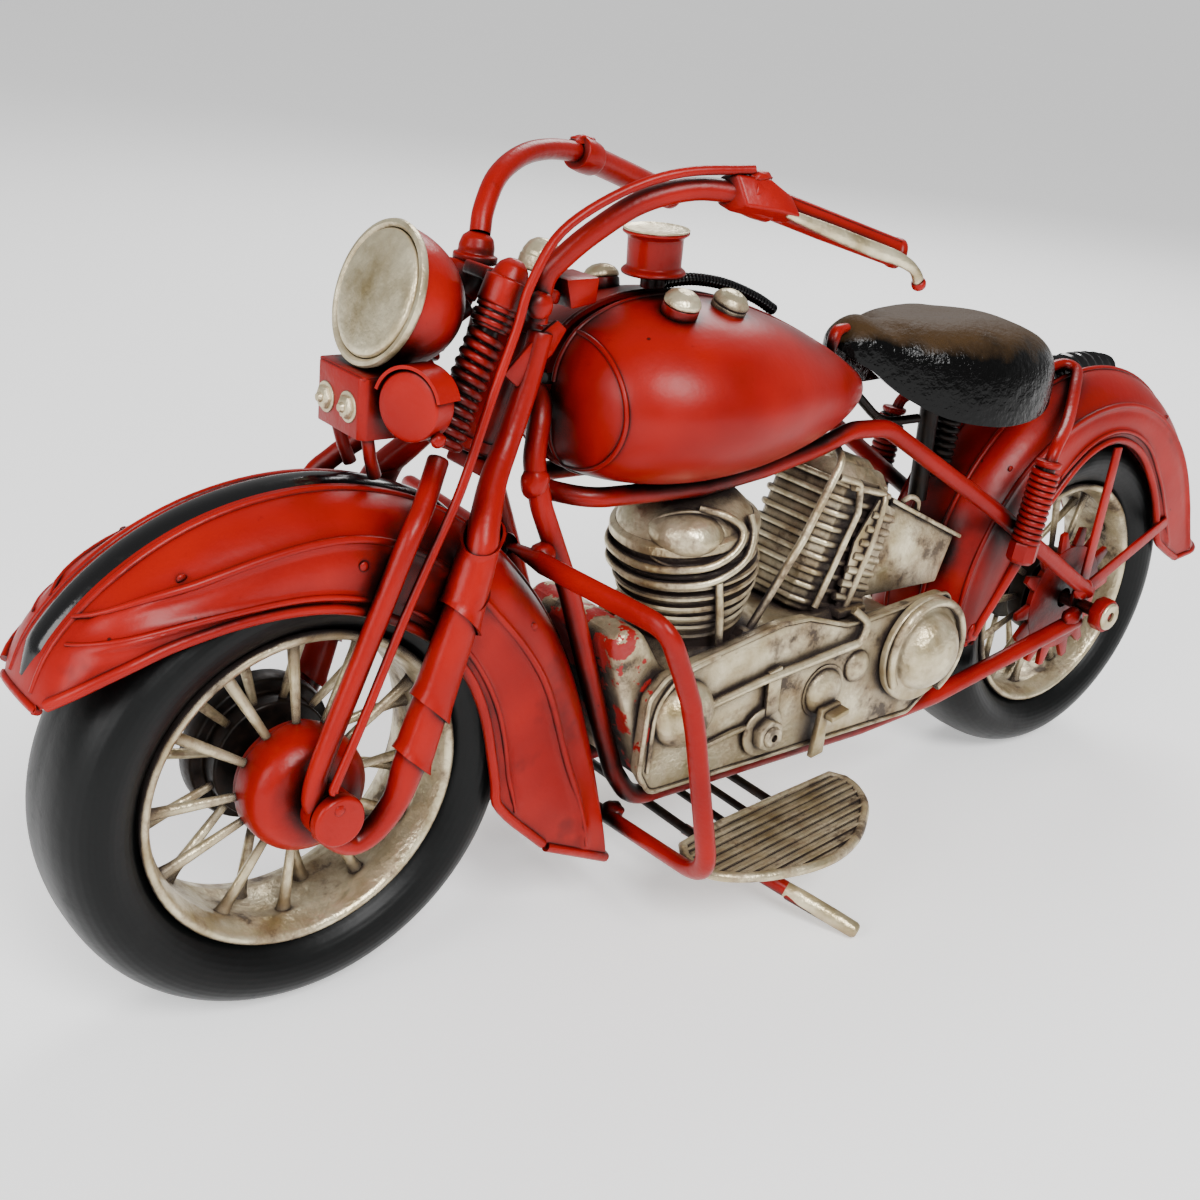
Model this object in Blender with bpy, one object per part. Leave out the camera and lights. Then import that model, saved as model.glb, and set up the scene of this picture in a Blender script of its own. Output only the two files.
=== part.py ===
"""Hand-made tin motorcycle, standing upright on two wheels and its side stand.

Every length below is in millimetres in the machine's own frame: +X points to the headlight, +Y to the
rider's left, +Z up, with the wheels' centre plane at y = 0 and the ground at z = 0. MM turns a length
into Blender's metres, and the root empty moves the machine so that its box is centred on the origin.
"""

import math

import bmesh
import bpy
from mathutils import Matrix, Vector

MM = 0.001
GAP = 0.3  # clearance between two pieces that touch

# ---------------------------------------------------------------- driving dimensions
WHEELBASE = 195.0
WHEEL_R = 39.0
TYRE_HALF = 11.3
CROWN_HALF = 4.0  # half the width of the flat tread
BEAD_R = 26.4
RIM_R = 26.0
SPOKES = 12  # on each side of a wheel
SPOKE_R = 0.85
HUB_R = 10.3
AXLE_R = 1.5
TYRE_STEPS = 40  # one of these flats stands on the ground

RAKE = math.radians(17.0)
STEM_TOP = Vector((54.2, 0.0, 121.0))
STEM_DOWN = Vector((math.sin(RAKE), 0.0, -math.cos(RAKE)))

FORK_Y = 15.4  # middle of the lower legs, just outside the fender
SPRING_R = 3.1
FENDER_HALF = 13.4
SHEET = 0.6  # thickness of the pressed sheet

TUBE_R = 1.9
STAND_PIVOT = Vector((17.6, 16.8, 11.4))
STAND_TIP = Vector((1.2, 45.0, 1.3))
BOX_CENTRE = (-7.37, 2.567)  # middle of the machine's own box, in x and y

FRONT_AXLE = Vector((WHEELBASE / 2, 0.0, WHEEL_R))
REAR_AXLE = Vector((-WHEELBASE / 2, 0.0, WHEEL_R))

for old in list(bpy.data.objects):
    bpy.data.objects.remove(old)


# ---------------------------------------------------------------- finishes
def finish(name, hex_colour, roughness, metallic=0.0):
    """A Principled material from an sRGB hex colour."""
    made = bpy.data.materials.new(name)
    made.use_nodes = True
    shader = made.node_tree.nodes["Principled BSDF"]
    srgb = [int(hex_colour[i : i + 2], 16) / 255 for i in (0, 2, 4)]
    linear = [c / 12.92 if c <= 0.04045 else ((c + 0.055) / 1.055) ** 2.4 for c in srgb]
    shader.inputs["Base Color"].default_value = (*linear, 1.0)
    shader.inputs["Roughness"].default_value = roughness
    shader.inputs["Metallic"].default_value = metallic
    made.diffuse_color = (*linear, 1.0)
    return made


RED = finish("red_enamel", "B8281E", 0.38)
SILVER = finish("silver_paint", "A89E88", 0.42, 0.55)
LENS = finish("lens_paint", "B4A78A", 0.5)
BLACK = finish("black_lacquer", "16161A", 0.25)
TYRE = finish("tyre_black", "1B1D1F", 0.62)
DARK = finish("dark_steel", "2A211D", 0.55, 0.4)


# ---------------------------------------------------------------- bodies
def joint_frame(name, parent, at):
    """An empty on a joint's axis; the pieces of its body hang from it."""
    empty = bpy.data.objects.new(name, None)
    bpy.context.scene.collection.objects.link(empty)
    empty.parent = parent
    empty["at"] = tuple(at)
    base = Vector(parent["at"]) if parent else Vector((0.0, 0.0, 0.0))
    empty.location = (Vector(at) - base) * MM
    return empty


MACHINE = joint_frame("machine", None, (0.0, 0.0, 0.0))
STEERING = joint_frame("steering_axis", MACHINE, STEM_TOP)
FRONT_WHEEL = joint_frame("front_wheel_axis", STEERING, FRONT_AXLE)
REAR_WHEEL = joint_frame("rear_wheel_axis", MACHINE, REAR_AXLE)
STAND = joint_frame("side_stand_pivot", MACHINE, STAND_PIVOT)
MACHINE.location = (-BOX_CENTRE[0] * MM, -BOX_CENTRE[1] * MM, 0.0)


def add(name, data, material, body):
    """Links an object whose data is in the machine's frame, hung from the body's empty."""
    obj = bpy.data.objects.new(name, data)
    data.materials.append(material)
    bpy.context.scene.collection.objects.link(obj)
    obj.parent = body
    obj.matrix_parent_inverse = Matrix.Translation(-Vector(body["at"]) * MM)
    return obj


def smooth(mesh, angle=35.0):
    mesh.shade_smooth()
    mesh.set_sharp_from_angle(angle=math.radians(angle))


def hide(obj):
    obj.hide_render = True
    obj.display_type = "WIRE"
    return obj


def mesh_from(name, build):
    bm = bmesh.new()
    build(bm)
    bmesh.ops.recalc_face_normals(bm, faces=bm.faces)
    mesh = bpy.data.meshes.new(name)
    bm.to_mesh(mesh)
    bm.free()
    smooth(mesh)
    return mesh


# ---------------------------------------------------------------- shapes
def lofted(name, rings, material, body, closed=False, capped=True):
    """Skin over rings of points (mm); each ring has as many points. closed joins the last to the first."""

    def build(bm):
        rows = [[bm.verts.new(Vector(p) * MM) for p in ring] for ring in rings]
        pairs = list(zip(rows, rows[1:])) + ([(rows[-1], rows[0])] if closed else [])
        for a, b in pairs:
            for i in range(len(a)):
                j = (i + 1) % len(a)
                bm.faces.new((a[i], a[j], b[j], b[i]))
        if capped and not closed:
            bm.faces.new(rows[0])
            bm.faces.new(rows[-1])

    return add(name, mesh_from(name, build), material, body)


def sheet(name, rows, thickness, material, body):
    """An open skin over rows of points (mm), thickened inwards into a pressed sheet."""

    def build(bm):
        grid = [[bm.verts.new(Vector(p) * MM) for p in row] for row in rows]
        for a, b in zip(grid, grid[1:]):
            for i in range(len(a) - 1):
                bm.faces.new((a[i], a[i + 1], b[i + 1], b[i]))
        bmesh.ops.remove_doubles(bm, verts=bm.verts, dist=0.0001 * MM)

    obj = add(name, mesh_from(name, build), material, body)
    wall = obj.modifiers.new("sheet", "SOLIDIFY")
    wall.thickness = thickness * MM
    wall.offset = -1.0
    return obj


def turned(name, profile, at, axis, material, body, steps=24, closed=True, flat_down=False):
    """A turned piece: profile is (radius, height) down its outer side, closed for one with a hole."""
    mesh = bpy.data.meshes.new(name)
    verts = [(r * MM, 0.0, h * MM) for r, h in profile]
    edges = [(i, i + 1) for i in range(len(verts) - 1)]
    if closed:
        edges.append((len(verts) - 1, 0))
    mesh.from_pydata(verts, edges, [])
    obj = add(name, mesh, material, body)
    obj.location = Vector(at) * MM
    turn = Vector(axis).normalized().to_track_quat("Z", "Y").to_matrix().to_4x4()
    if flat_down:
        turn = turn @ Matrix.Rotation(math.pi / steps, 4, "Z")
    obj.rotation_euler = turn.to_euler()
    spin = obj.modifiers.new("turn", "SCREW")
    spin.steps = spin.render_steps = steps
    spin.use_merge_vertices = True
    spin.merge_threshold = 0.00001
    spin.use_smooth_shade = True
    return obj


def bent(points, radius, steps=4):
    """Points of a rod bent to one radius at each inner corner."""
    path = [Vector(points[0])]
    for before, corner, after in zip(points, points[1:], points[2:]):
        corner = Vector(corner)
        a, b = Vector(before) - corner, Vector(after) - corner
        half = a.angle(b) / 2
        reach = min(radius / math.tan(half), 0.48 * a.length, 0.48 * b.length)
        start, end = corner + a.normalized() * reach, corner + b.normalized() * reach
        for i in range(steps + 1):
            t = i / steps
            path.append((1 - t) ** 2 * start + 2 * t * (1 - t) * corner + t * t * end)
    path.append(Vector(points[-1]))
    return path


def rod(name, points, radius, material, body, bend=6.0, steps=4, sides=2, loop=False):
    """A bent round rod: a poly curve with a bevel, and filled ends or a closed loop."""
    curve = bpy.data.curves.new(name, "CURVE")
    curve.dimensions = "3D"
    path = bent(points, bend, steps)
    spline = curve.splines.new("POLY")
    spline.points.add(len(path) - 1)
    for point, place in zip(spline.points, path):
        point.co = (*(place * MM), 1.0)
        point.radius = 1.0
    spline.use_cyclic_u = loop
    curve.bevel_depth = radius * MM
    curve.bevel_resolution = sides
    curve.use_fill_caps = not loop
    return add(name, curve, material, body)


def swept(name, path, radii, material, body, sides=10):
    """A round bar whose radius changes along its path."""
    path = [Vector(p) for p in path]
    rings = []
    side = Vector((0.0, 1.0, 0.0))
    for i, place in enumerate(path):
        ahead = path[min(i + 1, len(path) - 1)] - path[max(i - 1, 0)]
        ahead.normalize()
        side = (side - ahead * side.dot(ahead)).normalized()
        up = ahead.cross(side)
        rings.append(
            [
                place + radii[i] * (math.cos(a) * side + math.sin(a) * up)
                for a in (2 * math.pi * k / sides for k in range(sides))
            ]
        )
    return lofted(name, rings, material, body)


def slab(name, outline, low, high, plane, material, body, edge=0.0):
    """A plate: an outline (mm) in plane XZ or XY, from low to high along the third axis."""

    def at(u, v, w):
        return (u, w, v) if plane == "XZ" else (u, v, w)

    rings = [[at(u, v, w) for u, v in outline] for w in (low, high)]
    obj = lofted(name, rings, material, body)
    if edge:
        bevel = obj.modifiers.new("edge", "BEVEL")
        bevel.width = edge * MM
        bevel.segments = 1
        bevel.limit_method = "ANGLE"
        bevel.angle_limit = math.radians(50)
    return obj


def combine(obj, others, operation="UNION"):
    """Boolean modifiers that join others to obj, or cut them from it."""
    for other in others:
        boolean = obj.modifiers.new(other.name, "BOOLEAN")
        boolean.operation = operation
        boolean.solver = "EXACT"
        boolean.object = hide(other)
    return obj


def flip(points):
    """The same points on the other side of the machine."""
    return [(x, -y, z) for x, y, z in points]


def ring_profile(outer, inner, low, high):
    return [(outer, high), (outer, low), (inner, low), (inner, high)]


# ---------------------------------------------------------------- wheels
def both_sides(half):
    """A turned outline from its +y half, top to bottom."""
    return half + [(r, -h) for r, h in reversed(half)]


def wheel(prefix, axle, body):
    """Tyre, rim with its pins, and a turned hub; spokes reach the rim and stop just short of the hub."""
    crown = WHEEL_R / math.cos(math.pi / TYRE_STEPS)
    half = [
        (BEAD_R, 6.6), (28.6, 9.2), (33.0, TYRE_HALF), (37.0, 9.3), (crown, CROWN_HALF),
    ]
    turned(prefix + "_tyre", both_sides(half), axle, (0, 1, 0), TYRE, body, TYRE_STEPS, flat_down=True)

    lip = [(25.0, 6.4), (25.7, 8.6), (27.4, 8.6), (27.4, 8.25), (RIM_R, 6.8)]
    rim = turned(
        prefix + "_rim_with_spokes", both_sides(lip), axle, (0, 1, 0), SILVER, body, 28
    )

    def spokes(bm):
        for side in (1, -1):
            for k in range(SPOKES):
                angle = 2 * math.pi * (k + (0.5 if side < 0 else 0.0)) / SPOKES
                out = Vector((math.cos(angle), 0.0, math.sin(angle)))
                inner = axle + out * (HUB_R + GAP + 0.1) + Vector((0, side * 4.6, 0))
                outer = axle + out * (RIM_R - 0.5) + Vector((0, side * 2.8, 0))
                along = outer - inner
                place = Matrix.Translation((inner + outer) / 2 * MM)
                turn = along.to_track_quat("Z", "Y").to_matrix().to_4x4()
                bmesh.ops.create_cone(
                    bm, cap_ends=True, segments=5, radius1=SPOKE_R * MM, radius2=SPOKE_R * MM,
                    depth=along.length * MM, matrix=place @ turn,
                )

    pins = add(prefix + "_spoke_pins", mesh_from(prefix + "_spoke_pins", spokes), SILVER, body)
    combine(rim, [pins])


def front_hub():
    bore = AXLE_R + GAP
    profile = [
        (bore, 11.9), (6.4, 11.9), (8.8, 10.8), (HUB_R, 8.6), (HUB_R, 2.4), (5.0, 2.4),
        (5.0, -2.6), (bore, -2.6),
    ]
    turned("front_hub", profile, FRONT_AXLE, (0, 1, 0), RED, FRONT_WHEEL, 20)
    drum = [
        (bore, -2.9), (HUB_R, -2.9), (HUB_R, -6.9), (12.4, -6.9), (12.9, -8.4), (12.9, -10.4),
        (11.6, -11.6), (6.0, -11.6), (5.0, -12.3), (bore, -12.3),
    ]
    turned("front_brake_drum", drum, FRONT_AXLE, (0, 1, 0), DARK, FRONT_WHEEL, 20)


def sprocket_outline(teeth, root, tip):
    """Points of a toothed disc, four to a tooth."""
    points = []
    for k in range(teeth):
        for share, r in ((-0.32, root), (-0.14, tip), (0.14, tip), (0.32, root)):
            angle = 2 * math.pi * (k + share) / teeth
            points.append((r * math.cos(angle), r * math.sin(angle)))
    return points


def rear_hub():
    bore = AXLE_R + GAP
    profile = [
        (bore, 9.0), (6.0, 9.0), (6.0, 7.2), (HUB_R, 6.6), (HUB_R, 2.4), (5.0, 2.4),
        (5.0, -3.0), (HUB_R, -3.0), (HUB_R, -7.0), (bore, -7.0),
    ]
    turned("rear_hub", profile, REAR_AXLE, (0, 1, 0), DARK, REAR_WHEEL, 20)
    teeth, bore_ring = sprocket_outline(14, 12.6, 17.2), []
    for x, z in teeth:
        bore_ring.append((x / math.hypot(x, z) * 2.4, z / math.hypot(x, z) * 2.4))
    rings = []
    for outline, y in ((bore_ring, 10.6), (teeth, 10.6), (teeth, 9.4), (bore_ring, 9.4)):
        rings.append([(REAR_AXLE.x + x, y, REAR_AXLE.z + z) for x, z in outline])
    lofted("rear_sprocket", rings, RED, REAR_WHEEL, closed=True)


wheel("front", FRONT_AXLE, FRONT_WHEEL)
front_hub()
wheel("rear", REAR_AXLE, REAR_WHEEL)
rear_hub()


# ---------------------------------------------------------------- fenders
def between(table, angle):
    """Value of a table of (angle, value) at an angle, along straight lines."""
    for (a, low), (b, high) in zip(table, table[1:]):
        if angle <= b:
            return low + (high - low) * (angle - a) / (b - a)
    return table[-1][1]


# radii about the axle by angle up from +X: the crown and the lower edge; then half width and shoulder depth
FRONT_CROWN = [(28.5, 46.6), (40, 48.2), (90, 48.4), (140, 49.6), (160, 52.0), (180, 56.0), (195, 61.0),
    (205, 66.0)]
FRONT_EDGE = [
    (28.5, 46.3), (33, 45.0), (40, 42.8), (48, 40.4), (60, 37.0), (75, 34.2), (95, 32.0), (115, 30.4),
    (150, 30.0), (175, 30.6), (190, 32.6), (195, 33.6), (200, 39.0), (205, 49.0),
]
FRONT_HALF = [(28.5, 6.0), (32, 9.0), (38, 11.6), (48, FENDER_HALF), (180, FENDER_HALF), (205, 14.6)]
FRONT_SHOULDER = [(28.5, 2.5), (40, 7.0), (60, 10.5), (150, 10.5), (180, 7.0), (205, 1.2)]
REAR_CROWN = [(-5, 45.0), (20, 47.4), (45, 50.4), (70, 53.0), (100, 53.6), (150, 51.8), (168, 53.0),
    (174, 56.0)]
REAR_EDGE = [
    (-5, 36.5), (10, 31.4), (35, 30.6), (58, 32.8), (78, 37.0), (92, 38.4), (108, 37.0), (124, 34.2),
    (145, 31.8), (160, 31.6), (168, 35.6), (174, 41.0),
]
REAR_HALF = [(-5, FENDER_HALF), (174, FENDER_HALF)]
REAR_SHOULDER = [(-5, 8.0), (30, 10.5), (150, 10.5), (174, 8.0)]
ARCH = 5  # points from the crown to each lower edge


def fender(name, centre, crown, edge, widths, shoulders, count, body):
    """A pressed mudguard: an arched section swept round the wheel."""
    rows = []
    for i in range(count):
        angle = crown[0][0] + (crown[-1][0] - crown[0][0]) * i / (count - 1)
        top, low, half = between(crown, angle), between(edge, angle), between(widths, angle)
        drop = min(top - low - 0.1, between(shoulders, angle))
        section = [(0.0, top)]
        for k in range(1, ARCH):
            turn = math.radians(90 * k / (ARCH - 1))
            section.append((half * math.sin(turn), top - drop * (1 - math.cos(turn))))
        section.append((half, min(low, top - drop - 0.2)))
        whole = [(-y, r) for y, r in reversed(section[1:])] + section
        a = math.radians(angle)
        rows.append(
            [(centre.x + r * math.cos(a), y, centre.z + r * math.sin(a)) for y, r in whole]
        )
    return sheet(name, rows, SHEET, RED, body)


def fender_trim(name, centre, crown, start, end, count, body):
    """The black strip along a fender's crest."""
    rings = []
    for i in range(count):
        angle = start + (end - start) * i / (count - 1)
        top = between(crown, angle)
        a = math.radians(angle)
        section = [(-3.4, -0.15), (-2.6, 0.55), (0.0, 0.95), (2.6, 0.55), (3.4, -0.15), (0.0, 0.35)]
        section = [(y, top + rise) for y, rise in section]
        rings.append(
            [(centre.x + r * math.cos(a), y, centre.z + r * math.sin(a)) for y, r in section]
        )
    lofted(name, rings, BLACK, body)


fender(
    "front_fender", FRONT_AXLE, FRONT_CROWN, FRONT_EDGE, FRONT_HALF, FRONT_SHOULDER, 21, STEERING
)
fender_trim("front_fender_trim", FRONT_AXLE, FRONT_CROWN, 32, 126, 14, STEERING)
fender("rear_fender", REAR_AXLE, REAR_CROWN, REAR_EDGE, REAR_HALF, REAR_SHOULDER, 21, MACHINE)


# ---------------------------------------------------------------- springer fork and steering
def on_stem(down, ahead=0.0, y=0.0):
    """A point in the fork's raked frame: down the stem, then ahead of it."""
    across = Vector((math.cos(RAKE), 0.0, math.sin(RAKE)))
    return STEM_TOP + STEM_DOWN * down + across * ahead + Vector((0.0, y, 0.0))


def fork_leg(side_name, side):
    """Front rod and sleeved rear tube of one side, joined at the bored axle boss."""
    front = [
        (77.7, 9.4, 91.4), (79.4, 10.7, 89.0), (82.8, 13.6, 85.2), (86.6, 15.4, 80.0),
        (93.0, FORK_Y, 63.5),
        (99.0, FORK_Y, 48.0), (100.4, FORK_Y, 42.0),
    ]
    rear = [
        (59.4, 7.7, 109.4), (61.2, 7.8, 101.7), (65.0, 9.0, 92.6), (68.8, 11.4, 87.4),
        (72.4, 15.2, 82.0),
        (73.6, 16.9, 78.6), (74.6, 17.1, 75.0), (83.6, 17.1, 47.0), (84.8, 17.0, 43.6),
        (86.4, 16.6, 38.6), (89.6, 16.0, 34.0), (93.2, FORK_Y, 32.2), (96.6, FORK_Y, 34.2),
    ]
    rear_radii = [2.0, 2.0, 2.0, 2.2, 2.5, 3.1, 3.3, 3.3, 3.2, 2.2, 2.1, 2.1, 2.1]
    mirrored = flip if side < 0 else list
    name = "fork_leg_" + side_name
    boss = turned(
        name, ring_profile(4.1, AXLE_R + GAP, FORK_Y - 1.5, FORK_Y + 1.5),
        FRONT_AXLE, (0, side, 0), RED, STEERING, 16,
    )
    front_rod = swept(name + "_front", mirrored(front), [1.7] * len(front), RED, STEERING, 8)
    rear_rod = swept(name + "_rear", mirrored(rear), rear_radii, RED, STEERING, 10)
    combine(boss, [front_rod, rear_rod])


def spring(name, top, bottom, radius, coils, body, collar=0.0, steps=12, crown=()):
    """A close-wound spring on its rod, with a plain collar at the top and a crown of turned steps above it."""
    top, bottom = Vector(top), Vector(bottom)
    length = (top - bottom).length
    profile = [(r, length / 2 + h) for r, h in crown] or [(0.0, length / 2)]
    profile += [(radius * 0.92, length / 2)]
    low = length / 2 - collar
    pitch = (length - collar) / coils
    for k in range(coils):
        start = low - k * pitch
        profile += [(radius * 0.74, start), (radius, start - pitch * 0.3),
            (radius, start - pitch * 0.7)]
    profile += [(radius * 0.74, -length / 2), (0.0, -length / 2)]
    return turned(name, profile, (top + bottom) / 2, top - bottom, RED, body, steps, closed=False)


def front_end():
    fork_leg("left", 1)
    fork_leg("right", -1)
    for side_name, side in (("left", 1), ("right", -1)):
        nut = [(0.0, 5.0), (1.6, 4.6), (2.6, 3.2), (2.8, 1.8), (3.5, 1.7), (3.5, 0.0)]
        top = (67.2, 8.2, 116.0) if side > 0 else (63.8, -7.9, 114.6)
        spring(
            "fork_spring_" + side_name, top, (76.6, side * 8.4, 93.0), SPRING_R, 6, STEERING,
            collar=6.0, crown=nut,
        )

    yoke = [(-4.2, 2.6), (-2.0, 4.6), (10.0, 4.6), (11.6, 3.0), (11.6, -3.0), (8.0, -4.2), (-2.0, -4.6),
        (-4.2, -2.6)]
    rings = [[on_stem(down, ahead, y) for ahead, y in yoke] for down in (6.0, 8.2)]
    top_yoke = lofted("fork_top_yoke", rings, RED, STEERING)
    # the stem runs down through the steering head
    stem = swept(
        "steering_stem", [on_stem(7.0), on_stem(34.4)], [1.9, 1.9], RED, STEERING, 12
    )
    combine(top_yoke, [stem])
    low_yoke = [(-3.0, 3.0), (0.0, 5.2), (1.6, 5.6), (1.6, -5.6), (0.0, -5.2), (-3.0, -3.0)]
    rings = [[on_stem(down, ahead, y) for ahead, y in low_yoke] for down in (34.8, 37.4)]
    lofted("fork_lower_yoke", rings, RED, STEERING)
    dome = [(0.0, 3.6), (1.6, 3.3), (2.8, 2.2), (3.2, 0.6), (3.4, 0.6), (3.4, -2.0), (0.0, -2.0)]
    turned("stem_nut", dome, on_stem(2.6), -STEM_DOWN, SILVER, STEERING, 16, closed=False)

    axle = [
        (0.0, 19.4), (4.1, 19.4), (4.3, 18.6), (4.3, 17.2), (AXLE_R, 17.2),
        (AXLE_R, -17.2), (4.3, -17.2), (4.3, -18.6), (4.1, -19.4), (0.0, -19.4),
    ]
    turned("front_axle", axle, FRONT_AXLE, (0, 1, 0), RED, STEERING, 18, closed=False)


BAR_LEFT = [
    (60.2, 7.4, 110.8), (59.6, 7.8, 117.4), (57.4, 9.4, 121.2), (53.4, 11.8, 125.6),
    (47.8, 14.6, 130.0), (40.6, 17.8, 132.4),
    (33.6, 21.2, 132.4),
]
BAR_RIGHT = [
    (61.2, -8.0, 121.4), (59.8, -9.4, 125.0), (56.0, -11.8, 129.6), (49.6, -14.8, 132.4),
    (42.0, -18.0, 133.2),
    (33.6, -21.2, 132.6),
]
GRIP_END = Vector((4.0, 28.4, 124.0))
CABLE = [
    (34.2, 21.6, 136.0), (43.6, 18.4, 134.9), (52.6, 15.4, 131.5), (61.5, 13.4, 125.5),
    (66.4, 13.4, 117.8),
    (68.3, 13.5, 111.4), (72.4, 14.3, 101.4), (77.4, 15.4, 88.4), (82.6, 16.4, 78.6),
    (87.3, 17.2, 69.5),
    (94.2, 18.2, 54.4), (98.4, 18.7, 45.6), (98.7, 18.8, 44.4),
]


def handlebars():
    for side_name, side, bar in (("left", 1, BAR_LEFT), ("right", -1, BAR_RIGHT)):
        rod("handlebar_" + side_name, bar, 1.75, RED, STEERING, bend=14.0, steps=3)
        root = Vector(bar[-1])
        end = Vector((GRIP_END.x, side * GRIP_END.y, GRIP_END.z))
        along = (end - root).normalized()
        start = root + along * (GAP + 0.7)
        length = (end - start).length
        grip = [
            (0.0, length / 2), (3.0, length / 2), (3.0, length / 2 - 5.0), (2.3, length / 2 - 5.4),
            (2.4, -length / 2 + 0.5), (2.0, -length / 2), (0.0, -length / 2),
        ]
        turned("grip_" + side_name, grip, (start + end) / 2, start - end, RED, STEERING, 14,
            closed=False)

    lever = [
        (27.2, 26.4, 129.7), (20.0, 28.1, 127.6), (12.0, 30.1, 125.2), (5.6, 31.5, 123.1),
        (2.4, 31.6, 121.5),
        (0.4, 31.2, 118.9),
    ]
    width = [0.8, 1.1, 1.1, 1.0, 1.2, 0.9]
    swept("brake_lever", lever, width, SILVER, STEERING, 8)
    rod("brake_cable", CABLE, 0.75, RED, STEERING, bend=20.0, steps=2, sides=1)


LAMP = Vector((83.3, 0.0, 114.3))
LAMP_R = 10.7
LAMP_DEPTH = 13.2
LAMP_TILT = math.radians(18.2)
LAMP_AIM = Vector((math.cos(LAMP_TILT), 0.0, math.sin(LAMP_TILT)))
HORN = Vector((84.6, 10.6, 99.6))
HORN_R = 5.2


def lamps():
    """Headlight bowl with its lens, the U plate below it and the round drum on the plate's left."""
    wall = 0.8
    outer, inner = [], []
    for k in range(7):
        turn = math.radians(90 * k / 6)
        outer.append((LAMP_R * math.cos(turn), -LAMP_DEPTH * math.sin(turn)))
        inner.append(((LAMP_R - wall) * math.cos(turn), -(LAMP_DEPTH - wall) * math.sin(turn)))
    bezel = [(LAMP_R - wall, 1.3), (LAMP_R + 0.5, 1.3), (LAMP_R + 0.5, 0.2), (LAMP_R, 0.0)]
    profile = list(reversed(inner)) + bezel + outer[1:]
    turned("headlight_shell", profile, LAMP, LAMP_AIM, RED, STEERING, 22, closed=False)
    lens = [(0.0, 1.9), (6.0, 1.7), (LAMP_R - wall - GAP, 1.2), (LAMP_R - wall - GAP, 0.2), (0.0, 0.2)]
    turned("headlight_lens", lens, LAMP, LAMP_AIM, LENS, STEERING, 22, closed=False)

    # U plate: two cheeks and a face, open to the rear
    plate = [
        (89.4, -6.8), (89.4, 5.0), (88.4, 6.0), (80.0, 6.0), (80.0, 5.0), (88.0, 5.0), (88.4, 4.6),
        (88.4, -6.4),
        (88.0, -6.8), (80.0, -6.8), (80.0, -7.8), (88.4, -7.8),
    ]
    rings = [[(x, y, z) for x, y in plate] for z in (94.0, 103.4)]
    lofted("horn_bracket", rings, RED, STEERING)
    aim = Vector((1.0, 0.42, 0.06)).normalized()
    drum = [(0.0, 1.9), (HORN_R - 0.3, 1.9), (HORN_R, 1.5), (HORN_R, -2.8), (HORN_R - 1.4, -3.8),
        (0.0, -3.8)]
    turned("horn_drum", drum, HORN + Vector((-0.4, 1.2, 1.2)), aim, RED, STEERING, 20, closed=False)


front_end()
handlebars()
lamps()


# ---------------------------------------------------------------- frame
def frame():
    head = swept("steering_head", [on_stem(11.6), on_stem(34.4)], [3.3, 3.3], RED, MACHINE, 14)
    bore = swept("steering_head_bore", [on_stem(10.0), on_stem(36.0)], [2.2, 2.2], RED, MACHINE, 12)
    combine(head, [bore], "DIFFERENCE")

    half = [
        (-95.0, 16.6, 36.2), (-52.0, 13.0, 24.6), (-30.0, 11.4, 21.6), (30.0, 9.0, 19.6),
        (34.6, 8.6, 26.4),
        (39.2, 8.4, 38.0), (49.0, 8.2, 64.5), (55.6, 7.0, 80.0), (57.0, 5.6, 87.6), (54.8, 3.6, 95.2),
        (52.8, 0.0, 97.6),
    ]
    rod("cradle_frame", half + flip(reversed(half[:-1])), TUBE_R, RED, MACHINE, bend=8.0, steps=2)
    spine = [(52.0, 0.0, 99.4), (-20.0, 0.0, 94.4), (-34.0, 0.0, 84.0), (-45.2, 0.0, 84.0)]
    rod("backbone_tube", spine, 0.95, DARK, MACHINE, bend=14.0)
    stay = [
        (-95.6, 17.4, 43.4), (-56.0, 16.0, 67.6), (-22.6, 11.0, 87.2), (-14.0, 9.8, 87.2),
        (-7.0, 9.2, 84.6),
        (7.0, 8.8, 81.7), (22.0, 8.6, 79.9), (46.0, 7.6, 80.4), (52.0, 0.0, 80.8),
    ]
    rod("seat_stays", stay + flip(reversed(stay[:-1])), TUBE_R - 0.15, RED, MACHINE, bend=8.0, steps=2,
        sides=1)

    axle = [
        (0.0, 23.6), (3.6, 23.6), (3.9, 23.2), (3.9, 19.7), (AXLE_R, 19.7), (AXLE_R, -19.7),
        (3.9, -19.7),
        (3.9, -23.2), (3.6, -23.6), (0.0, -23.6),
    ]
    turned("rear_axle", axle, REAR_AXLE, (0, 1, 0), RED, MACHINE, 18, closed=False)


# ---------------------------------------------------------------- tank
# x, top, bottom and half width along the tank
TANK = [
    (51.6, 97.6, 95.0, 3.0), (50.6, 103.2, 88.4, 9.6), (46.6, 108.4, 84.0, 17.0),
    (38.6, 111.8, 81.8, 22.4),
    (28.6, 112.8, 81.0, 24.6), (17.6, 111.6, 81.6, 23.8), (7.0, 108.8, 83.2, 20.8),
    (-4.0, 104.6, 85.6, 16.0),
    (-13.6, 100.0, 88.4, 10.2), (-19.8, 96.6, 91.6, 5.0), (-21.6, 94.8, 93.6, 1.6),
]
SEAM_Y = 1.3


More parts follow.
